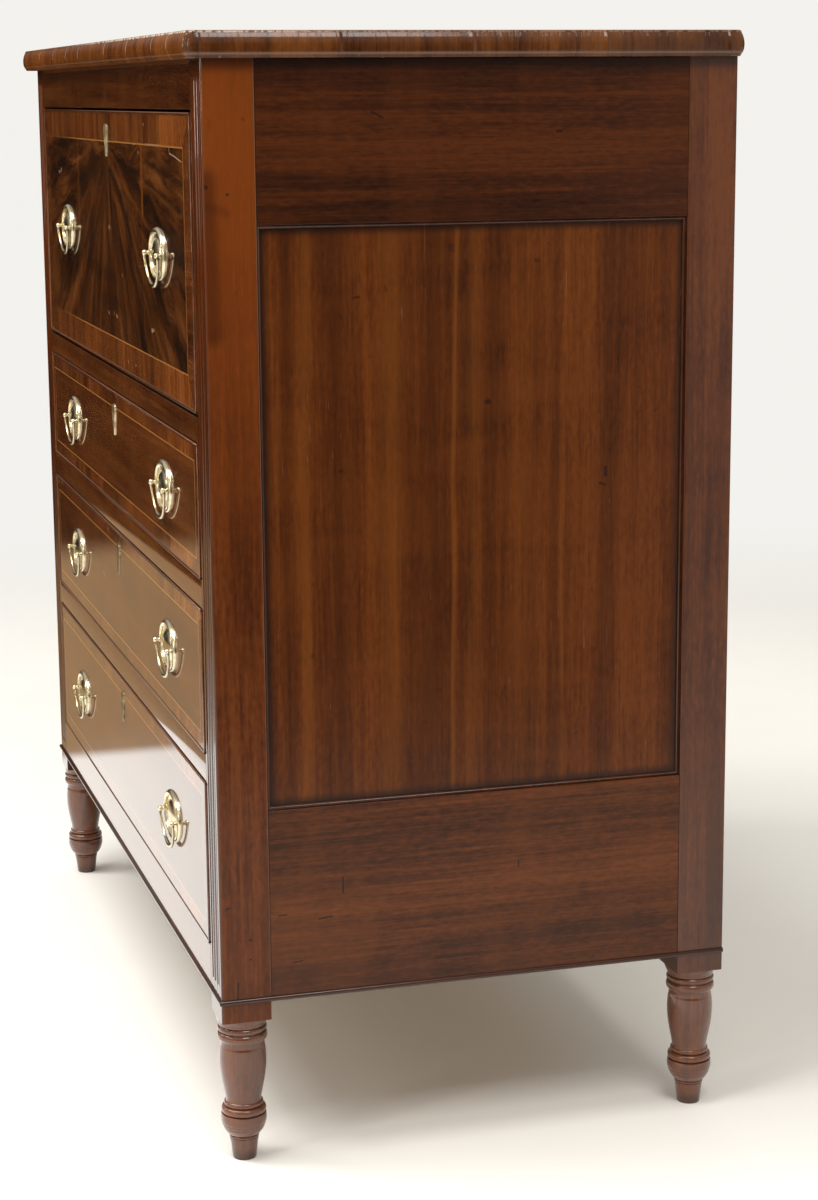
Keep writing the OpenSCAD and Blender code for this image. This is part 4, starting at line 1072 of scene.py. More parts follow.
@dataclass
class CornerPosts:
    """Four posts, each with its turned leg, and reeds on the two front ones."""

    MARKS: ClassVar[tuple[Stroke, ...]] = (
        Stroke((-0.239, 0.245), (-0.237, 0.245), 0.0016), Stroke((-0.239, 0.224), (-0.238, 0.224), 0.0014),
        Stroke((-0.263, 0.280), (-0.259, 0.281), 0.0013), Stroke((-0.252, 0.200), (-0.253, 0.180), 0.0011),
        Stroke((-0.246, 0.996), (-0.245, 0.996), 0.0015), Stroke((-0.268, 1.004), (-0.266, 1.003), 0.0026),
        Stroke((-0.229, 1.068), (-0.228, 1.066), 0.0014, amount=0.4),
        Stroke((-0.266, 0.985), (-0.246, 0.978), 0.008, amount=0.25, core=0.0),
        Stroke((-0.266, 1.01), (-0.262, 0.86), 0.016, (0.030, 0.0060, 0.0010), 0.55, 0.1),
    )

    shop: Workshop
    reeds: int = 3
    reed_w: float = 12 * MM
    reed_depth: float = 2.2 * MM
    margin: float = 7 * MM
    stop: float = 17 * MM
    width: float = 52 * MM
    block_h: float = 20 * MM
    base_z: float = 177 * MM
    round_out: float = 3.0 * MM
    round_in: float = 0.7 * MM

    def leg(self) -> np.ndarray:
        """Returns the leg's profile as radius and height, from the floor up.

        A foot that widens upwards, a ball with two scored lines and a ring above it, a vase that
        swells to its shoulder as a sine, a fillet, two rings and a neck.
        """

        def ring(z0: float, z1: float, r: float, out: float, steps: int = 11) -> np.ndarray:
            a = np.linspace(0, math.pi, steps)
            return np.stack([r + out * np.sin(a), (z0 + z1) / 2 - (z1 - z0) / 2 * np.cos(a)], axis=1)

        s = np.linspace(0, 1, 25)
        vase = np.stack([18.6 + 6.4 * np.sin(s * 2.05) ** 1.25 * (1 - 0.06 * s), 65.5 + 57.5 * s], axis=1)
        b = np.linspace(0, 1, 21)
        ball = np.stack([16.0 + 8.0 * np.sin(b * 2.0) ** 0.75, 27 + 23 * b], axis=1)
        scored = sum(np.exp(-(((ball[:, 1] - height) / 0.7) ** 2)) for height in (36.2, 39.4))
        ball[:, 0] -= 0.55 * scored
        parts = [
            np.array([[11.6, 0], [12.4, 0.9], [13.3, 8], [14.4, 17], [15.1, 22], [15.2, 23.2], [14.6, 23.8]]),
            ring(24.0, 26.6, 15.0, 0.9, 7),
            ball,
            ring(50.6, 58.4, 21.0, 2.5),
            ring(58.8, 64.2, 18.9, 1.7, 9),
            vase,
            np.array([[23.6, 124.2], [23.3, 125.0], [23.3, 131.0]]),
            ring(131.6, 140.6, 23.6, 2.7),
            ring(141.6, 147.4, 23.7, 2.2),
            np.array([[23.9, 147.6], [24.6, 148.2], [25.4, 151.0]]),
        ]
        return np.vstack(parts) * MM

    def section(self, reeded: bool) -> tuple[np.ndarray, np.ndarray]:
        """Returns the post's outline seen from above.

        A reed is an arc of a circle, so a point's depth is one minus the root of one minus the
        square of its distance from the reed's middle.

        Args:
            reeded: Whether the front face is reeded.

        Returns:
            Points as (n, 2) from the inner front corner, for a post from (0, 0) to (w, w), and the
            depth to which the reeds' hollows lower each point.
        """
        w = self.width

        def corner(cx: float, cy: float, r: float, start: float) -> np.ndarray:
            a = np.radians(start) + np.linspace(0, math.pi / 2, 7)
            return np.stack([cx + r * np.cos(a), cy + r * np.sin(a)], axis=1)

        ri, ro = self.round_in, self.round_out if reeded else 1.2 * MM
        first = corner(ri, ri, ri, 180)
        x = np.linspace(ri, w - ro, 123)[1:-1]
        face = np.stack([x, np.zeros_like(x)], axis=1)
        outer = corner(w - ro, ro, ro, 270)
        y = np.linspace(ro, w - ri, 27)[1:-1]
        right = np.stack([np.full_like(y, w), y], axis=1)
        back = corner(w - ri, w - ri, ri, 0)
        x_back = np.linspace(w - ri, ri, 27)[1:-1]
        rear = np.stack([x_back, np.full_like(x_back, w)], axis=1)
        inner = corner(ri, w - ri, ri, 90)
        y_in = np.linspace(w - ri, ri, 27)[1:-1]
        left = np.stack([np.zeros_like(y_in), y_in], axis=1)
        outline = np.vstack([first, face, outer, right, back, rear, inner, left])
        depth = np.zeros(len(outline))
        if reeded:
            s = (x - (w - self.margin - self.reeds * self.reed_w)) / self.reed_w
            inside = (s >= 0) & (s <= self.reeds)
            crown = np.abs((s % 1.0) - 0.5) * 2
            sunk = 1 - np.sqrt(np.clip(1 - crown**2 * 0.94, 0, 1))
            hollow = np.where(inside, self.reed_depth * sunk / 0.755, 0.0)
            depth[len(first) : len(first) + len(x)] = hollow
        return outline, depth

    def shaft(self, low: Vector, reeded: bool, top: float) -> Shell:
        """Makes the square part on the right.

        Below the shoulder each row is the square cut by a circle that shrinks downwards, so the
        four faces run out in arcs over the turned neck.

        Args:
            low: Lowest corner of the post's box, apart from its height.
            reeded: Whether the front face is reeded.
            top: Height of its upper end.

        Returns:
            The shell, from the leg's neck to the top.
        """
        outline, depth = self.section(reeded)
        shoulder = self.base_z - self.block_h
        r0, r1 = self.base_z + self.stop, top - self.stop
        ends = np.linspace(0, 8, 9) * MM
        neck = np.linspace(-7, 0, 8) * MM
        z = np.concatenate(
            [
                shoulder + neck,
                [shoulder + 0.01 * MM, shoulder + 0.6 * MM, self.base_z],
                r0 + ends,
                np.linspace(r0 + ends[-1], r1 - ends[-1], 30)[1:-1],
                r1 - ends[::-1],
                [top - 0.2 * MM, top],
            ]
        )
        ramp = np.clip(np.minimum(z - r0, r1 - z) / (7 * MM), 0, 1)
        ramp = np.sqrt(1 - (1 - ramp) ** 2)
        reach = np.full(len(z), self.width)
        reach[: len(neck)] = np.linspace(24.8, 28.0, len(neck)) * MM
        reach[len(neck)] = 36.0 * MM
        centred = outline - self.width / 2
        far = np.linalg.norm(centred, axis=1)
        cut = np.minimum(1.0, reach[:, None] / far)
        grid = np.zeros((len(z), len(outline), 3))
        grid[..., :2] = self.width / 2 + centred * cut[..., None]
        grid[..., 1] += ramp[:, None] * depth
        grid[..., 2] = z[:, None]
        return woven(grid + np.array([low.x, low.y, 0]))

    def finishes(self, place: str, side: Side, reeded: bool, joint_y: float, top: float) -> list[Wood]:
        """Returns the finishes of a post, of its leg and of its reeded face.

        Args:
            place: The post's place, "front" or "back".
            side: The side of the chest.
            reeded: Whether the front face is reeded.
            joint_y: Where the side's boards meet the post.
            top: Height of the post's upper end.

        Returns:
            The three finishes.
        """
        name = f"{place}_{side.name.lower()}"
        seed = 1.3 * side.value + (0 if reeded else 5)
        # Painted shadow: a dark band at the upper end, under the top board's overhang.
        shade = Line(2, top, 0.016, GRIME_AND_SHADE, 0.7)
        # Painted highlight: a pale thin line on the arris where the side's boards meet the post.
        joint = Line(1, joint_y, 0.0009, PALE_WEAR_AND_GLINT, 0.35)
        tone, polish = POST_WOOD.warmed(0.90), Polish(0.42, 0.9, 0.3, 0.0004, 0.00006)
        if reeded:
            tone, polish = POST_WOOD, Polish(0.36, 0.3, 0.18, 0.0004, 0.00006)
        marks = self.MARKS if reeded and side is Side.RIGHT else ()
        # Painted glow on the upper part of the front posts.
        top_glow = 0.75 if reeded else 0.0
        leg_polish = Polish(0.34, 1.0, 0.06, 0.0004, 0.00006, 0.2)
        face_polish = Polish(0.36, 1.0, 0.04, 0.0004, 0.00002, 0.03)
        # Darker at the bottom of each foot, next to the floor.
        foot = Line(2, 0.004, 0.012, GRIME_AND_SHADE, 0.6)
        return [
            Wood(
                f"post_{name}", tone, Grain.Z, seed, 30.0, 1.5, 0.15, polish,
                painted_glow_above=top_glow, lines=(joint, shade), strokes=marks,
            ),
            Wood(
                f"leg_{name}", POST_WOOD.warmed(1.15), Grain.Z, seed + 2, 30.0, 1.2, 0.3, leg_polish,
                dust_and_sheen_below=0.10, lines=(foot,),
            ),
            # The reeded face takes the darker palette as painted shade, and a weaker painted glow.
            Wood(
                f"post_{name}_face", SHADED_REED_WOOD, Grain.Z, seed, 30.0, 0.95, 0.5, face_polish,
                painted_glow_above=0.25, lines=(shade,),
            ),
        ]

    def build(self) -> None:
        """Makes the posts."""
        for place, reeded in (("front", True), ("back", False)):
            low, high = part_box(f"{place}_post_right")
            leg = turned(self.leg(), (low.x + high.x) / 2, (low.y + high.y) / 2)
            shell = joined(self.shaft(low, reeded, high.z), leg)
            for side in Side:
                name = side.name.lower()
                post, foot, face = self.finishes(place, side, reeded, high.y if reeded else low.y, high.z)
                others = (
                    (face, lambda middle, facing: facing[:, 1] < -0.6),
                    (foot, lambda middle, facing: middle[:, 2] < self.base_z - self.block_h),
                )
                part = shell if side is Side.RIGHT else shell.mirrored()
                piece = self.shop.piece(
                    f"{place}_post_and_leg_{name}", part, post, "case", "mahogany_posts", 30.0, others
                )
                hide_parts(f"{place}_post_{name}")


@dataclass
class SideFrames:
    """Rails, panel and bead slips between the posts of each side."""

    BANDS: ClassVar[tuple[tuple[float, float, float], ...]] = (
        (-0.190, 0.010, -0.35), (-0.172, 0.012, 0.20), (-0.137, 0.030, -0.38), (-0.085, 0.022, 0.18),
        (-0.042, 0.028, -0.42), (-0.017, 0.004, 0.30), (0.004, 0.012, 0.14), (0.022, 0.010, -0.28),
        (0.060, 0.030, 0.08), (0.092, 0.012, -0.28), (0.104, 0.005, 0.14), (0.150, 0.018, -0.22),
    )
    MARKS: ClassVar[dict[str, tuple[Stroke, ...]]] = {
        "top": (
            Stroke((-0.101, 1.073), (-0.090, 1.067), 0.0012), Stroke((0.090, 1.052), (0.094, 1.052), 0.002),
        ),
        "bottom": (
            Stroke((-0.208, 0.268), (-0.200, 0.268), 0.0011),
            Stroke((-0.166, 0.260), (-0.152, 0.262), 0.0012),
            Stroke((-0.194, 0.216), (-0.184, 0.217), 0.0011),
            Stroke((-0.140, 0.302), (-0.140, 0.286), 0.0013),
            Stroke((0.050, 0.302), (0.050, 0.296), 0.0011),
            Stroke((-0.060, 0.330), (-0.030, 0.336), 0.005, amount=0.35),
        ),
        "panel": (
            Stroke((0.018, 0.785), (0.020, 0.785), 0.0035, amount=0.7),
            Stroke((0.146, 0.712), (0.146, 0.704), 0.0025, amount=0.7),
            Stroke((0.140, 0.696), (0.146, 0.694), 0.002, amount=0.6),
            Stroke((-0.120, 0.893), (-0.114, 0.894), 0.0016, amount=0.6),
            Stroke((0.070, 0.925), (0.072, 0.925), 0.003, amount=0.5),
            Stroke((-0.136, 0.722), (-0.134, 0.722), 0.0025, amount=0.5),
        ),
    }

    shop: Workshop
    arris: float = 0.7 * MM
    slip: float = 4 * MM

    def build(self) -> None:
        """Makes both sides."""
        front_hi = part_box("front_post_right")[1]
        back_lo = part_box("back_post_right")[0]
        y0, y1 = front_hi.y, back_lo.y
        top_lo, top_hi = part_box("side_top_rail_right")
        low_lo, low_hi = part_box("side_bottom_rail_right")
        panel_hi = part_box("side_panel_right")[1]
        polish = Polish(0.36, 0.3, 0.2)
        # Dark joints at the posts, and painted shadow along the top under the top board's overhang.
        joints = (
            Line(1, y0, 0.0016, GRIME_AND_SHADE, 0.8), Line(1, y1, 0.0016, GRIME_AND_SHADE, 0.6),
            Line(2, top_hi.z, 0.016, GRIME_AND_SHADE, 0.7),
        )
        for part, lo, hi, tone in (("top", top_lo, top_hi, RAIL_WOOD), ("bottom", low_lo, low_hi, BASE_WOOD)):
            shell = rounded_box((lo.x, y0, lo.z), (hi.x, y1, hi.z), self.arris)
            for side in Side:
                name = side.name.lower()
                finish = Wood(
                    f"side_{part}_{name}", tone, Grain.Y, 7 + side.value, 13.0, 1.3, 0.06, polish,
                    lines=joints, strokes=self.MARKS[part] if side is Side.RIGHT else (),
                )
                whole = shell if side is Side.RIGHT else shell.mirrored()
                piece = self.shop.piece(f"side_{part}_board_{name}", whole, finish, "case", "mahogany_rails")
                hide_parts(f"side_{part}_rail_{name}")
        z0, z1 = low_hi.z, top_lo.z
        self.slips(panel_hi.x, y0, y1, z0, z1)
        for side in Side:
            name = side.name.lower()
            edge = self.slip
            # Painted shade: a dark band inside the panel's border, next to the bead slips.
            shade = tuple(
                Line(axis, place, 0.010, GRIME_AND_SHADE, 0.75)
                for axis, place in ((1, y0 + edge), (1, y1 - edge), (2, z0 + edge), (2, z1 - edge))
            )
            bands = tuple(
                Line(1, place, reach, EMBER if glow > 0 else PANEL_WOOD.dark, abs(glow), 0.03)
                for place, reach, glow in self.BANDS
            )
            finish = Wood(
                f"side_panel_{name}_veneer", PANEL_WOOD, Grain.Z, 4.4 * side.value, 17.0, 1.05, 0.35,
                Polish(0.36, 0.3, 0.2, 0.0010, 0.00005), lines=bands + shade,
                strokes=self.MARKS["panel"] if side is Side.RIGHT else (),
            )
            self.shop.dress(bpy.data.objects[f"side_panel_{name}"], finish)

    def slips(self, x: float, y0: float, y1: float, z0: float, z1: float) -> None:
        """Makes the bead slips: a quarter round carried round the panel with mitred corners.

        Args:
            x: The panel's outer face.
            y0: Front edge of the panel's opening.
            y1: Back edge of the panel's opening.
            z0: Lower edge of the panel's opening.
            z1: Upper edge of the panel's opening.
        """
        path = np.array([[x, y0, z0], [x, y1, z0], [x, y1, z1], [x, y0, z1]])
        out = np.array([[0, 1.0, 1], [0, -1, 1], [0, -1, -1], [0, 1, -1]])
        a = np.linspace(0, math.pi / 2, 9)
        round_part = np.stack([self.slip * np.cos(a), self.slip * np.sin(a)], axis=1)
        profile = np.vstack([[[0.0, -0.2 * MM]], [[self.slip, -0.2 * MM]], round_part])
        shell = mitred(path, out, np.array([1.0, 0, 0]), profile, True)
        polish = Polish(0.28, 0.8, 0.1)
        finish = Wood("panel_bead", RAIL_WOOD.warmed(0.8), Grain.Z, 9.0, 30.0, 1.2, 0.3, polish)
        both = joined(shell, shell.mirrored())
        piece = self.shop.piece("panel_bead_slips", both, finish, "case", "mahogany_mouldings", 50.0)
        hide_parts("panel_beads")


@dataclass
class FrontFrame:
    """Frieze, blades, bottom rail and base bead."""

    BOLTS: ClassVar[dict[str, str | None]] = {
        "frieze_rail": "fall_bolt", "upper_blade": "upper_drawer_bolt", "middle_blade": "middle_drawer_bolt",
        "lower_blade": "lower_drawer_bolt", "bottom_rail": None,
    }

    shop: Workshop
    polish: Polish = Polish(0.32, 1.0, 0.05, 0.0006, sheen=0.03)
    arris: float = 0.5 * MM
    bolt_travel: float = 8 * MM
    bolt_clearance: float = 2 * MM

    def mortised(self, inner: float, low: Vector, high: Vector, bolt: tuple[Vector, Vector]) -> Shell:
        """Makes a rail with a mortise in its underside for a lock bolt.

        The section is a rounded rectangle with a notch in its lower edge, carried along x. The
        notch is as high as the bolt travels over the mortise and has no height elsewhere.

        Args:
            inner: Half the width between the posts.
            low: Lowest corner of the rail.
            high: Highest corner of the rail.
            bolt: Lowest and highest corner of the bolt.

        Returns:
            The closed shell.
        """
        r, room = self.arris, self.bolt_clearance
        turn = np.linspace(0, math.pi / 2, 4)
        corners = (
            (high.y - r, low.z + r, 270), (high.y - r, high.z - r, 0), (low.y + r, high.z - r, 90),
            (low.y + r, low.z + r, 180),
        )
        rounds = []
        for y, z, start in corners:
            a = turn + math.radians(start)
            rounds.append(np.stack([y + r * np.cos(a), z + r * np.sin(a)], axis=1))
        y0, y1, x0, x1 = bolt[0].y - room, bolt[1].y + room, bolt[0].x - room, bolt[1].x + room
        notch = np.array([[y0, low.z], [y0, low.z], [y1, low.z], [y1, low.z]])
        section = np.vstack([notch, *rounds])
        rows = ((-inner, 0.0), (x0, 0.0), (x0, 1.0), (x1, 1.0), (x1, 0.0), (inner, 0.0))
        grid = np.zeros((len(rows), len(section), 3))
        grid[..., 0] = np.array([x for x, _ in rows])[:, None]
        grid[..., 1:] = section
        grid[:, 1:3, 2] += np.array([share for _, share in rows])[:, None] * self.bolt_travel
        return woven(grid).welded()

    def build(self) -> None:
        """Makes the rails between the front posts and the bead round the base."""
        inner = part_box("front_post_right")[0].x
        for number, (node, bolt) in enumerate(self.BOLTS.items()):
            low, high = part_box(node)
            if bolt:
                shell = self.mortised(inner, low, high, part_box(bolt))
            else:
                shell = rounded_box((-inner, low.y, low.z), (inner, high.y, high.z), self.arris)
            tone = FRONT_WOOD.warmed(1.0 if number else 0.85)
            finish = Wood(f"{node}_wood", tone, Grain.X, 11.0 + number, 20.0, 1.1, 0.5, self.polish)
            piece = self.shop.piece(f"{node}_board", shell, finish, "case", "mahogany_rails", 20.0)
            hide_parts(node)
        self.bead()

    def bead(self) -> None:
        """Makes the base bead: a half round carried along one side, the front and the other side."""
        low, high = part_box("base_bead")
        r = (high.z - low.z) / 2
        x, y0, y1 = high.x - r, low.y + r, high.y
        z = (low.z + high.z) / 2
        path = np.array([[-x, y1, z], [-x, y0, z], [x, y0, z], [x, y1, z]])
        out = np.array([[-1.0, 0, 0], [-1, -1, 0], [1, -1, 0], [1, 0, 0]])
        a = np.linspace(-math.pi / 2, math.pi / 2, 13)
        nose = np.stack([r * np.cos(a), r * np.sin(a)], axis=1)
        profile = np.vstack([nose, [[-0.3 * MM, r], [-0.3 * MM, -r]]])
        shell = mitred(path, out, np.array([0, 0, 1.0]), profile, False)
        polish = Polish(0.3, 0.8, 0.15)
        finish = Wood("base_bead_wood", RAIL_WOOD.warmed(0.7), Grain.Y, 13.0, 30.0, 1.0, 0.5, polish)
        piece = self.shop.piece("base_bead_strip", shell, finish, "case", "mahogany_mouldings", 50.0)
        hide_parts("base_bead")


@dataclass
class Pull:
    """One oval pull: plate, two posts with balls, nuts behind, and a bail."""

    shop: Workshop
    name: str
    body: str
    bail_body: str
    x: float
    z: float
    face_y: float
    thickness: float
    through: bool
    half_w: float = 40 * MM
    half_h: float = 28 * MM
    rim_w: float = 6.5 * MM
    post_x: float = 33 * MM
    out: float = 8.5 * MM
    ball: float = 3.0 * MM
    drop: float = 33 * MM
    lean: float = math.radians(4)
    oval: float = 2.1

    def plate(self) -> Shell:
        """Makes the plate: a broad rounded rim of even width, a sunk field and a dome.

        Each row is a slightly squared oval. In the rim its half axes shrink by the same length,
        within it by the same share. The rim's height is a half sine to the power 0.75, and the
        dome's is one minus the square of the share, to the power 0.6.
        """
        angle = np.linspace(0, 2 * math.pi, 96, endpoint=False)
        t = np.linspace(1, 0, 15)
        s = np.linspace(0.98, 0.03, 22)
        shrink = self.rim_w * (1 - t)
        a = np.concatenate([[self.half_w], self.half_w - shrink, (self.half_w - self.rim_w) * s])
        b = np.concatenate([[self.half_h], self.half_h - shrink, (self.half_h - self.rim_w) * s])
        rim = 1.0 + 3.1 * np.sin(math.pi * np.clip(t * 0.94 + 0.06, 0, 1)) ** 0.75
        dome = 5.6 * np.clip(1 - (s / 0.80) ** 2, 0, 1) ** 0.6
        tall = np.concatenate([[-0.4], rim, np.maximum(dome, 1.0)]) * MM
        across = np.abs(np.cos(angle) / a[:, None]) ** self.oval
        upright = np.abs(np.sin(angle) / b[:, None]) ** self.oval
        radius = (across + upright) ** (-1 / self.oval)
        grid = np.zeros((len(a), len(angle), 3))
        grid[..., 0] = radius * np.cos(angle)
        grid[..., 2] = radius * np.sin(angle)
        grid[..., 1] = -tall[:, None]
        return woven(grid)

    def spun(self, profile: np.ndarray, side: int, corners: int) -> Shell:
        """Turns a profile, as radius and place behind the face, about the axis of a post."""
        angle = np.linspace(0, 2 * math.pi, corners, endpoint=False)
        grid = np.zeros((len(profile), corners, 3))
        grid[..., 0] = side * self.post_x + profile[:, None, 0] * np.cos(angle)
        grid[..., 2] = profile[:, None, 0] * np.sin(angle)
        grid[..., 1] = profile[:, None, 1]
        return woven(grid)

    def post(self, side: int) -> Shell:
        """Makes a post: a turned stem with a collar and a ball, carried out from the plate."""
        a = np.linspace(-math.pi * 0.34, math.pi * 0.47, 15)
        ball = np.stack([self.ball * np.cos(a), self.out + self.ball * np.sin(a)], axis=1)
        foot = np.array([[3.0, 0.6], [3.0, 4.4], [2.4, 4.9], [1.7, 5.2]]) * MM
        return self.spun(np.vstack([foot, ball]) * (1, -1), side, 32)

    def nut(self, side: int) -> Shell:
        """Makes a six-sided nut behind the front."""
        rows = np.array([[4.6, 0.0], [5.0, 0.3], [5.0, 2.7], [4.6, 3.0]]) * MM
        return self.spun(rows + (0, self.thickness), side, 6)

    def bail(self) -> Shell:
        """Makes the bail: a round bar along an arc, thicker at its lowest place, with ends turned in.

        The arc passes through both arms at the posts' height and through the lowest place, which
        gives its centre above the posts. The whole hangs with its lowest place leaning inwards.
        """
        arm = self.post_x + self.ball + 2.2 * MM
        above = (arm**2 - self.drop**2) / (2 * self.drop)
        bow = self.drop + above
        tilt = math.asin(above / bow)
        a = np.linspace(tilt, math.pi - tilt, 49)
        arc = np.stack([bow * np.cos(a), np.zeros_like(a), above - bow * np.sin(a)], axis=1)
        thick = (1.5 + 1.0 * np.exp(-(((a - math.pi / 2) / 0.40) ** 2))) * MM
        ends = np.zeros((3, 3))
        ends[:, 0] = self.post_x - 1 * MM, arm - 1.6 * MM, arm - 0.5 * MM
        ends[2, 2] = -0.3 * MM
        path = np.vstack([ends, arc[1:-1], (ends * np.array([-1, 1, 1]))[::-1]])
        tips = np.array([1.1, 1.2, 1.4]) * MM
        size = np.concatenate([tips, thick[1:-1], tips[::-1]])
        c, s = math.cos(self.lean), math.sin(self.lean)
        turn = np.array([[1, 0, 0], [0, c, -s], [0, s, c]])
        path = path @ turn.T
        depth = turn @ np.array([0.0, 1.0, 0.0])
        tangent = np.gradient(path, axis=0)
        tangent /= np.linalg.norm(tangent, axis=1, keepdims=True)
        side = np.cross(tangent, depth)
        ring = np.linspace(0, 2 * math.pi, 20, endpoint=False)
        grid = path[:, None] + size[:, None, None] * (
            np.cos(ring)[None, :, None] * side[:, None] + np.sin(ring)[None, :, None] * depth
        )
        return woven(grid)

    def build(self) -> tuple[bpy.types.Object, bpy.types.Object]:
        """Makes the plate with its posts, and the bail.

        Returns:
            The fixed piece and the bail.
        """
        brass = Brass("pull_brass")
        parts = [self.plate(), self.post(-1), self.post(1)]
        if self.through:
            parts += [self.nut(-1), self.nut(1)]
        fixed = joined(*parts).moved(self.x, self.face_y, self.z)
        plate = self.shop.piece(f"{self.name}_plate", fixed, brass, self.body, "brass_pulls", 50.0)
        bail = self.bail().moved(self.x, self.face_y - self.out, self.z)
        # Darker brass on the bail, a painted dark reflection of the room it faces.
        darker_brass = Brass("bail_brass", (0.54, 0.47, 0.32), (0.22, 0.17, 0.10), 0.14, 0.5)
        ring = self.shop.piece(f"{self.name}_ring", bail, darker_brass, self.bail_body, "brass_pulls", 60.0)
        return plate, ring


@dataclass
class Escutcheon:
    """Brass keyhole plate: a shield with two small ears and a blunt point, and the keyhole's dark inside."""

    shop: Workshop
    name: str
    body: str
    z: float
    face_y: float
    brass: Brass

    def outline(self, angle: np.ndarray) -> np.ndarray:
        """Returns the plate's edge in each direction from the keyhole, as x and z in metres.

        The edge is a circle above, straight sides that draw in below to a blunt end, and two ears
        at the shoulders, which are bumps along the angle.
        """
        x, z = np.sin(angle), np.cos(angle)
        lift, r, tip, blunt = 7.4 * MM, 8.6 * MM, 21.2 * MM, 2.6 * MM
        b = z * lift
        circle = b + np.sqrt(b**2 - lift**2 + r**2)
        slope = (r - blunt) / (tip + lift)
        side = (r - lift * slope) / np.maximum(np.abs(x) - z * slope, 1e-6)
        point = tip / np.maximum(-z, 1e-6)
        edge = np.where(circle * z > lift, circle, np.minimum(side, point))
        ears = 1 + 0.16 * np.exp(-(((np.abs(angle) - 0.62) / 0.09) ** 2))
        return np.stack([edge * ears * x, edge * ears * z], axis=1)

    def keyhole(self, angle: np.ndarray) -> np.ndarray:
        """Returns the keyhole's edge in each direction, a circle with a slot below it."""
        x, z = np.sin(angle), np.cos(angle)
        r, half, drop = 2.6 * MM, 1.3 * MM, 9 * MM
        slot = np.minimum(half / np.maximum(np.abs(x), 1e-6), drop / np.maximum(-z, 1e-6))
        edge = np.where(z < 0, np.maximum(r, slot), r)
        return np.stack([edge * x, edge * z], axis=1)

    def build(self) -> None:
        """Makes the plate as rings between the keyhole and the edge, and the dark inside."""
        angle = np.linspace(-math.pi, math.pi, 144, endpoint=False)
        outer, inner = self.outline(angle), self.keyhole(angle)
        rows = (
            (0.0, -0.3), (0.0, 1.2), (0.05, 1.55), (0.14, 1.75), (0.55, 1.95), (0.93, 1.75), (1.0, 1.4),
            (1.0, -0.3),
        )
        grid = np.zeros((len(rows), len(angle), 3))
        for row, (share, tall) in enumerate(rows):
            grid[row, :, ::2] = outer + (inner - outer) * share
            grid[row, :, 1] = -tall * MM
        shell = woven(grid, ring=True, loop=True).moved(0, self.face_y, self.z)
        self.shop.piece(f"{self.name}_escutcheon", shell, self.brass, self.body, "brass_locks", 50.0)
        hole = np.zeros((2, len(angle), 3))
        for row, tall in enumerate((0.2, 0.5)):
            hole[row, :, ::2] = inner * 1.02
            hole[row, :, 1] = -tall * MM
        inside = woven(hole).moved(0, self.face_y, self.z)
        self.shop.piece(f"{self.name}_keyhole", inside, Shadow("keyhole_dark"), self.body, "brass_locks")


@dataclass
class DrawerFront:
    """Everything on the face of one drawer or of the fall."""

    shop: Workshop
    name: str
    node: str
    body: str
    pull_bodies: dict[Side, str]
    plates_node: str
    figure: Figure
    inset: tuple[float, float]
    seed: float
    face_y: float
    thickness: float
    through: bool
    keyhole_brass: Brass
    bead: float = 1.5 * MM
    rebate: float = 2.7 * MM
    pull_x: float = 306 * MM
    keyhole_drop: float = 31 * MM

    def cock_bead(self, x: float, z0: float, z1: float) -> None:
        """Makes the cock bead: a half round carried round the front with mitred corners.

        Args:
            x: Half the front's width.
            z0: Height of its lower edge.
            z1: Height of its upper edge.
        """
        path, out = rectangle(-x + self.bead, x - self.bead, z0 + self.bead, z1 - self.bead, self.face_y)
        a = np.linspace(-math.pi / 2, math.pi / 2, 11)
        r = self.bead + 0.05 * MM
        nose = np.stack([r * np.sin(a), r * np.cos(a)], axis=1)
        profile = np.vstack([nose, [[r, -0.4 * MM], [-r, -0.4 * MM]]])
        bead = mitred(path, out, np.array([0, -1.0, 0]), profile, True)
        polish = Polish(0.22, 1.0, 0.06)
        wood = Wood("cock_bead", FRONT_WOOD.warmed(0.9), Grain.X, 17.0, 30.0, 1.2, 0.4, polish)
        self.shop.piece(f"{self.name}_cock_bead", bead, wood, self.body, "veneered_fronts", 50.0)

    def build(self) -> None:
        """Makes the veneer, the cock bead, the escutcheon and the two pulls."""
        low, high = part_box(self.node)
        x, z0, z1 = high.x, low.z, high.z
        inner_x, y = x - self.rebate, self.face_y
        low_corner = (-inner_x, y - 0.35 * MM, z0 + self.rebate)
        high_corner = (inner_x, y + 0.5 * MM, z1 - self.rebate)
        veneer = rounded_box(low_corner, high_corner, 0.15 * MM, 1)
        half_x, half_z = x - self.inset[0], (z1 - z0) / 2 - self.inset[1]
        name = f"{self.name}_front_veneer"
        finish = Front(name, self.figure, (z0 + z1) / 2, half_x, half_z, self.seed)
        self.shop.piece(f"{self.name}_veneer", veneer, finish, self.body, "veneered_fronts")
        self.cock_bead(x, z0, z1)
        tone, polish = RAIL_WOOD.warmed(1.7), Polish(0.45, 0.2, 0.3)
        core = Wood(f"{self.name}_core", tone, Grain.X, self.seed + 8, 20.0, 1.1, 0.3, polish)
        self.shop.dress(bpy.data.objects[self.node], core)
        Escutcheon(self.shop, self.name, self.body, z1 - self.keyhole_drop, y, self.keyhole_brass).build()
        plate_low, plate_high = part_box(self.plates_node)
        z = (plate_low.z + plate_high.z) / 2
        for side, bail_body in self.pull_bodies.items():
            name = f"{self.name}_pull_{side.name.lower()}"
            place_x = side.value * self.pull_x
            pull = Pull(self.shop, name, self.body, bail_body, place_x, z, y, self.thickness, self.through)
            plate, ring = pull.build()
            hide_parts(self.plates_node)
            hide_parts(bail_body)


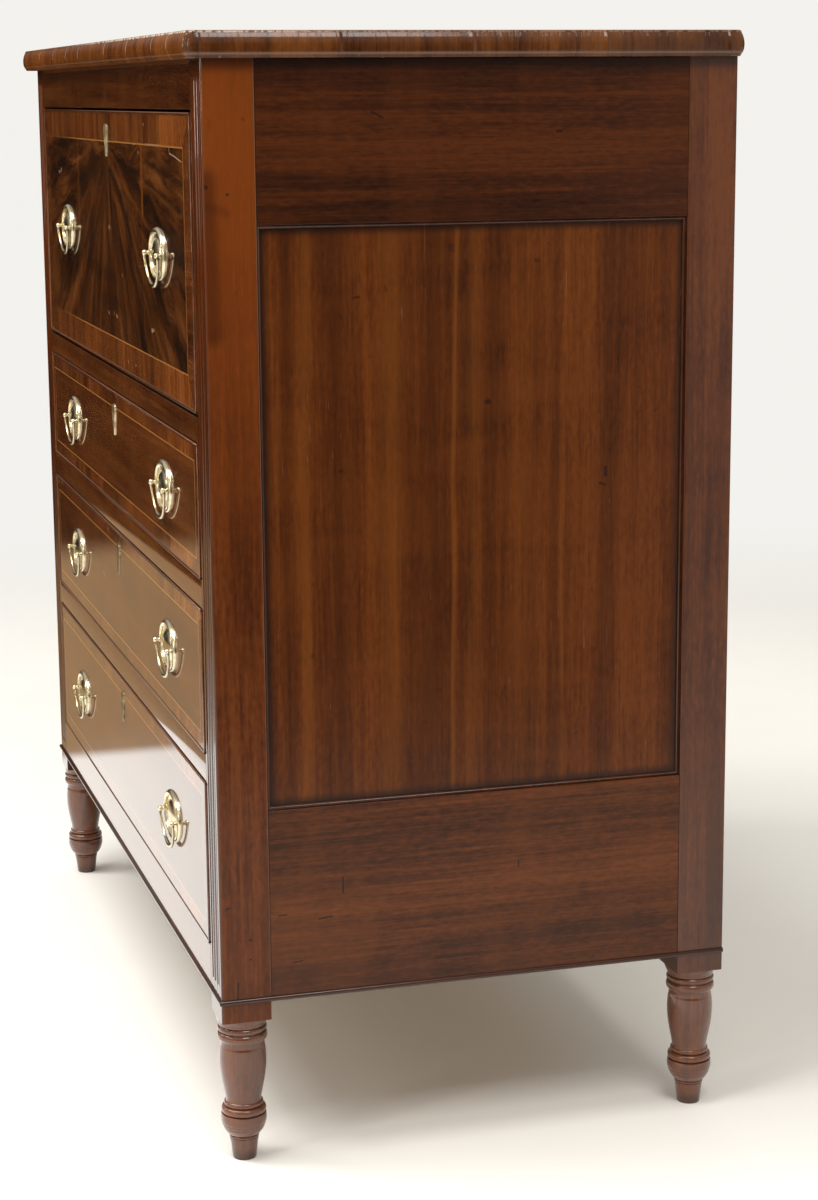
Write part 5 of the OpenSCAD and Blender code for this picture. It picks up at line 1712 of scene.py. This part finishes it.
@dataclass
class Inside:
    """Hidden and inner pieces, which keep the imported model's shapes."""

    shop: Workshop

    def build(self) -> None:
        """Dresses each inner node."""
        poplar_y = BareWood("poplar_sides", POPLAR, Grain.Y, 1.0)
        poplar_x = BareWood("poplar_back", POPLAR, Grain.X, 2.0)
        pine_y = BareWood("pine_runners", PINE, Grain.Y, 3.0)
        pine_x = BareWood("pine_rails", PINE, Grain.X, 4.0)
        boards = BareWood("pine_back_boards", PINE.warmed(0.75), Grain.Z, 5.0, 0.1994)
        desk, gloss, board = Polish(0.35, 0.5, 0.2), Polish(0.28, 0.8, 0.12), Polish(0.34, 0.5, 0.2)
        inner_x = Wood("desk_mahogany", INNER_WOOD, Grain.X, 21.0, 18.0, 1.1, 0.2, desk)
        inner_z = Wood("divider_mahogany", INNER_WOOD, Grain.Z, 22.0, 18.0, 1.1, 0.2, desk)
        small = Wood("small_drawer_veneer", INNER_WOOD.warmed(1.12), Grain.X, 23.0, 24.0, 1.5, 0.2, gloss)
        writing = Wood("writing_board_wood", INNER_WOOD.warmed(0.72), Grain.X, 24.0, 14.0, 1.1, 0.6, board)
        darker_brass = Brass("lock_brass", (0.62, 0.48, 0.25), roughness=0.32, tarnish=0.7)
        dressed = {
            "drawer_runners": pine_y, "drawer_guides": pine_y, "back_rails": pine_x, "back_boards": boards,
            "desk_sides": poplar_y, "desk_back": poplar_x, "desk_board": writing, "pivot_plates": darker_brass,
            "pigeonhole_case": inner_x, "pigeonhole_dividers": inner_z, "pigeonhole_valances": inner_x,
            "small_drawer_left": small, "small_drawer_middle": small, "small_drawer_right": small,
            "quadrant_stays": darker_brass, "fall_lock": darker_brass, "fall_bolt": darker_brass,
        }
        for drawer in ("upper", "middle", "lower"):
            dressed[f"{drawer}_drawer_box"] = poplar_y
            dressed[f"{drawer}_drawer_lock"] = darker_brass
            dressed[f"{drawer}_drawer_bolt"] = darker_brass
        for node, finish in dressed.items():
            self.shop.dress(bpy.data.objects[node], finish)


# Studio


@dataclass(frozen=True)
class Lamp:
    """A soft lamp: its place, the point it faces, its width and height in metres, watts and colour."""

    name: str
    spot: tuple[float, float, float]
    aim: tuple[float, float, float]
    size: tuple[float, float]
    power: float
    colour: Colour

    def hang(self) -> None:
        """Adds the lamp to the scene."""
        data = bpy.data.lights.new(self.name, "AREA")
        data.shape = "RECTANGLE"
        data.size, data.size_y = self.size
        data.energy = self.power
        data.color = self.colour
        lamp = bpy.data.objects.new(self.name, data)
        lamp.location = self.spot
        lamp.rotation_euler = (Vector(self.aim) - Vector(self.spot)).to_track_quat("-Z", "Y").to_euler()
        bpy.context.scene.collection.objects.link(lamp)


@dataclass
class Studio:
    """Floor, world, lamps and camera."""

    LAMPS: ClassVar[tuple[Lamp, ...]] = (
        Lamp("key_lamp", (-0.6, -2.6, 3.6), (0.0, 0.0, 0.5), (1.2, 1.2), 60.0, (1.0, 0.97, 0.92)),
        Lamp("side_lamp", (2.5, 0.2, 3.6), (0.5, 0.0, 0.6), (1.4, 1.4), 60.0, (1.0, 0.97, 0.93)),
        Lamp("top_lamp", (0.6, -1.5, 4.2), (0.4, -0.2, 0.0), (2.0, 2.0), 127.0, (1.0, 0.98, 0.95)),
        Lamp("left_strip", (-1.4, -2.8, 1.6), (0.0, -0.2, 1.2), (0.12, 1.3), 11.0, (1.0, 0.97, 0.93)),
        Lamp("right_strip", (1.6, -2.6, 1.7), (0.5, -0.2, 1.3), (0.12, 1.3), 11.0, (1.0, 0.97, 0.93)),
    )

    pale: Colour = (0.90, 0.885, 0.85)
    room: Colour = (0.010, 0.006, 0.004)
    wall: Colour = (0.72, 0.69, 0.65)
    ceiling: Colour = (0.62, 0.59, 0.54)
    carpet: Colour = (0.46, 0.31, 0.165)
    lit_paper: Colour = (1.60, 1.56, 1.47)
    window: Colour = (0.62, 0.55, 0.46)
    sensor_mm: float = 36.0
    image_h: float = 1200.0
    focal_px: float = 2505.36
    eye: tuple[float, float, float] = (2.92736, -0.76204, 1.08913)
    yaw: float = 0.2836
    pitch: float = 0.1992
    roll: float = -0.0079

    def camera(self) -> None:
        """Places the camera where the photograph was taken from."""
        flat = math.cos(self.pitch)
        forward = Vector((-math.cos(self.yaw) * flat, math.sin(self.yaw) * flat, -math.sin(self.pitch)))
        right = forward.cross(Vector((0, 0, 1))).normalized()
        up = right.cross(forward)
        c, s = math.cos(self.roll), math.sin(self.roll)
        right, up = c * right + s * up, c * up - s * right
        data = bpy.data.cameras.new("photo_camera")
        data.sensor_fit = "VERTICAL"
        data.sensor_height = self.sensor_mm
        data.lens = self.focal_px / self.image_h * self.sensor_mm
        data.clip_start = 0.05
        camera = bpy.data.objects.new("photo_camera", data)
        turn = Matrix((right, up, -forward)).transposed().to_4x4()
        camera.matrix_world = Matrix.Translation(self.eye) @ turn
        bpy.context.scene.collection.objects.link(camera)
        bpy.context.scene.camera = camera

    def world(self) -> None:
        """Makes the world: soft light for the object, and the pale background for the camera.

        Polished surfaces see a dark room with a pale wall on the right and a soft ceiling.
        """
        world = bpy.data.worlds.new("studio_world")
        world.use_nodes = True
        g = Graph(world.node_tree)
        path = g.put("LightPath").node
        x, y, z = g.split(g.put("TexCoord", out="Generated"))
        doorway = g.step(g.gap(y, 0.272), 0.005, 0.030, 0.55, 0.0)
        wall = g.times(g.math("MAXIMUM", doorway, g.step(y, 0.33, 0.42)), g.step(x, 0.0, 0.3))
        seen = g.mix(wall, self.room, self.wall)
        seen = g.mix(g.step(z, 0.04, 0.40), seen, self.ceiling)
        seen = g.mix(g.step(y, -0.50, -0.78), seen, self.window)
        soft = g.mix(g.step(z, -0.2, 0.8), (0.26, 0.24, 0.21), (0.62, 0.605, 0.57))
        colour = g.mix(path.outputs["Is Glossy Ray"], soft, seen)
        colour = g.mix(path.outputs["Is Camera Ray"], colour, self.pale)
        light = g.put("Background", {"Color": colour, "Strength": 1.0})
        output = g.tree.nodes.new("ShaderNodeOutputWorld")
        g.tree.links.new(light, output.inputs["Surface"])
        world.cycles.sampling_method = "NONE"
        bpy.context.scene.world = world

    def floor(self) -> None:
        """Makes the floor.

        It is pale paper near the chest and fades into the background. Beside the chest polished
        surfaces see the paper itself; elsewhere the floor glows for them, though it is no lamp, with
        painted reflections: the paper lit in front of the chest, ending at its left edge, then a brown
        carpet, then the dark room, with a window's light far in front and a wall beyond the right.
        """
        size = 14.0
        points = np.array([[-size, -size, 0], [size, -size, 0], [size, size, 0], [-size, size, 0]], float)
        mesh = bpy.data.meshes.new("floor")
        mesh.from_pydata(points, [], [[0, 1, 2, 3]])
        material, g = blank_material("pale_floor", self.pale)
        path = g.put("LightPath").node
        place = g.here()
        x, y, _ = g.split(place)
        away = g.put("VectorMath", {0: g.scaled(place, (0.78, 0.62, 0.0))}, "Value", operation="LENGTH")
        fade = g.step(away, 1.3, 2.6)
        stain = g.noise(place, 2.2, 3.0, 0.6)
        tint = g.mix(g.step(stain, 0.4, 0.7, 0.0, 0.35), (0.86, 0.845, 0.81), (0.80, 0.785, 0.75))
        paper = g.put("BsdfPrincipled", {"Base Color": tint, "Roughness": 0.75})
        glow = g.put("Emission", {"Color": (*self.pale, 1.0), "Strength": 1.0})
        rug = g.mix(g.step(x, -3.3, -2.9), self.room, self.carpet)
        wall = g.step(g.math("DIVIDE", y, x), 0.35, 0.43)
        near = g.mix(g.step(x, -1.20, -1.12), rug, self.lit_paper)
        sight = g.mix(g.step(x, 1.7, 2.2), near, g.mix(wall, self.room, self.wall))
        front = g.times(g.step(y, -2.2, -3.2), g.step(x, -3.2, -2.2))
        # Painted reflection: what polished surfaces see in the floor is a glow of set colours.
        reflection_glow = g.put("Emission", {"Color": g.mix(front, sight, self.window), "Strength": 1.0})
        beside = g.times(g.step(x, -1.2, -0.9), g.step(x, 2.0, 1.6), g.step(y, -0.33, -0.272))
        plain = g.put("MixShader", {0: fade, 1: paper, 2: glow})
        reflected = g.put("MixShader", {0: beside, 1: reflection_glow, 2: paper})
        g.finish(g.put("MixShader", {0: path.outputs["Is Glossy Ray"], 1: plain, 2: reflected}))
        material.cycles.emission_sampling = "NONE"
        mesh.materials.append(material)
        floor = bpy.data.objects.new("floor", mesh)
        bpy.context.scene.collection.objects.link(floor)

    def build(self) -> None:
        """Makes the whole studio."""
        self.camera()
        self.world()
        self.floor()
        for lamp in self.LAMPS:
            lamp.hang()
        bpy.context.scene.view_settings.view_transform = "Standard"


def main() -> None:
    """Builds the dressed chest and its studio."""
    logging.basicConfig(level=logging.INFO, format="%(name)s: %(message)s")
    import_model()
    shop = Workshop()
    front_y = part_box("front_post_right")[0].y
    fall_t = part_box("fall_board")[1].y - front_y
    front_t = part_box("upper_drawer_front")[1].y - front_y
    TopBoard(shop).build()
    CornerPosts(shop).build()
    SideFrames(shop).build()
    FrontFrame(shop).build()
    Inside(shop).build()
    bright = Brass("escutcheon_brass", (0.62, 0.53, 0.33), roughness=0.3, tarnish=0.8)
    dark = Brass("dark_escutcheon_brass", (0.26, 0.21, 0.12), (0.10, 0.075, 0.04), 0.34, 0.9)
    fall_bails = {side: f"fall_bail_{side.name.lower()}" for side in Side}
    DrawerFront(
        shop, "fall", "fall_board", "fall_front", fall_bails, "fall_pull_plates", Figure.FLAME,
        (39 * MM, 34.7 * MM), 2.0, front_y, fall_t, False, bright,
    ).build()
    for number, drawer in enumerate(("upper_drawer", "middle_drawer", "lower_drawer")):
        bails = {side: f"{drawer}_bail_{side.name.lower()}" for side in Side}
        DrawerFront(
            shop, drawer, f"{drawer}_front", drawer, bails, f"{drawer}_pull_plates", Figure.PLAIN,
            (19 * MM, 19 * MM), 4.0 + number * 1.7, front_y, front_t, True, dark if number else bright,
        ).build()
    Studio().build()
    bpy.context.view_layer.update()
    log.info("%d pieces made", len(shop.pieces))


if __name__ == "__main__":
    main()
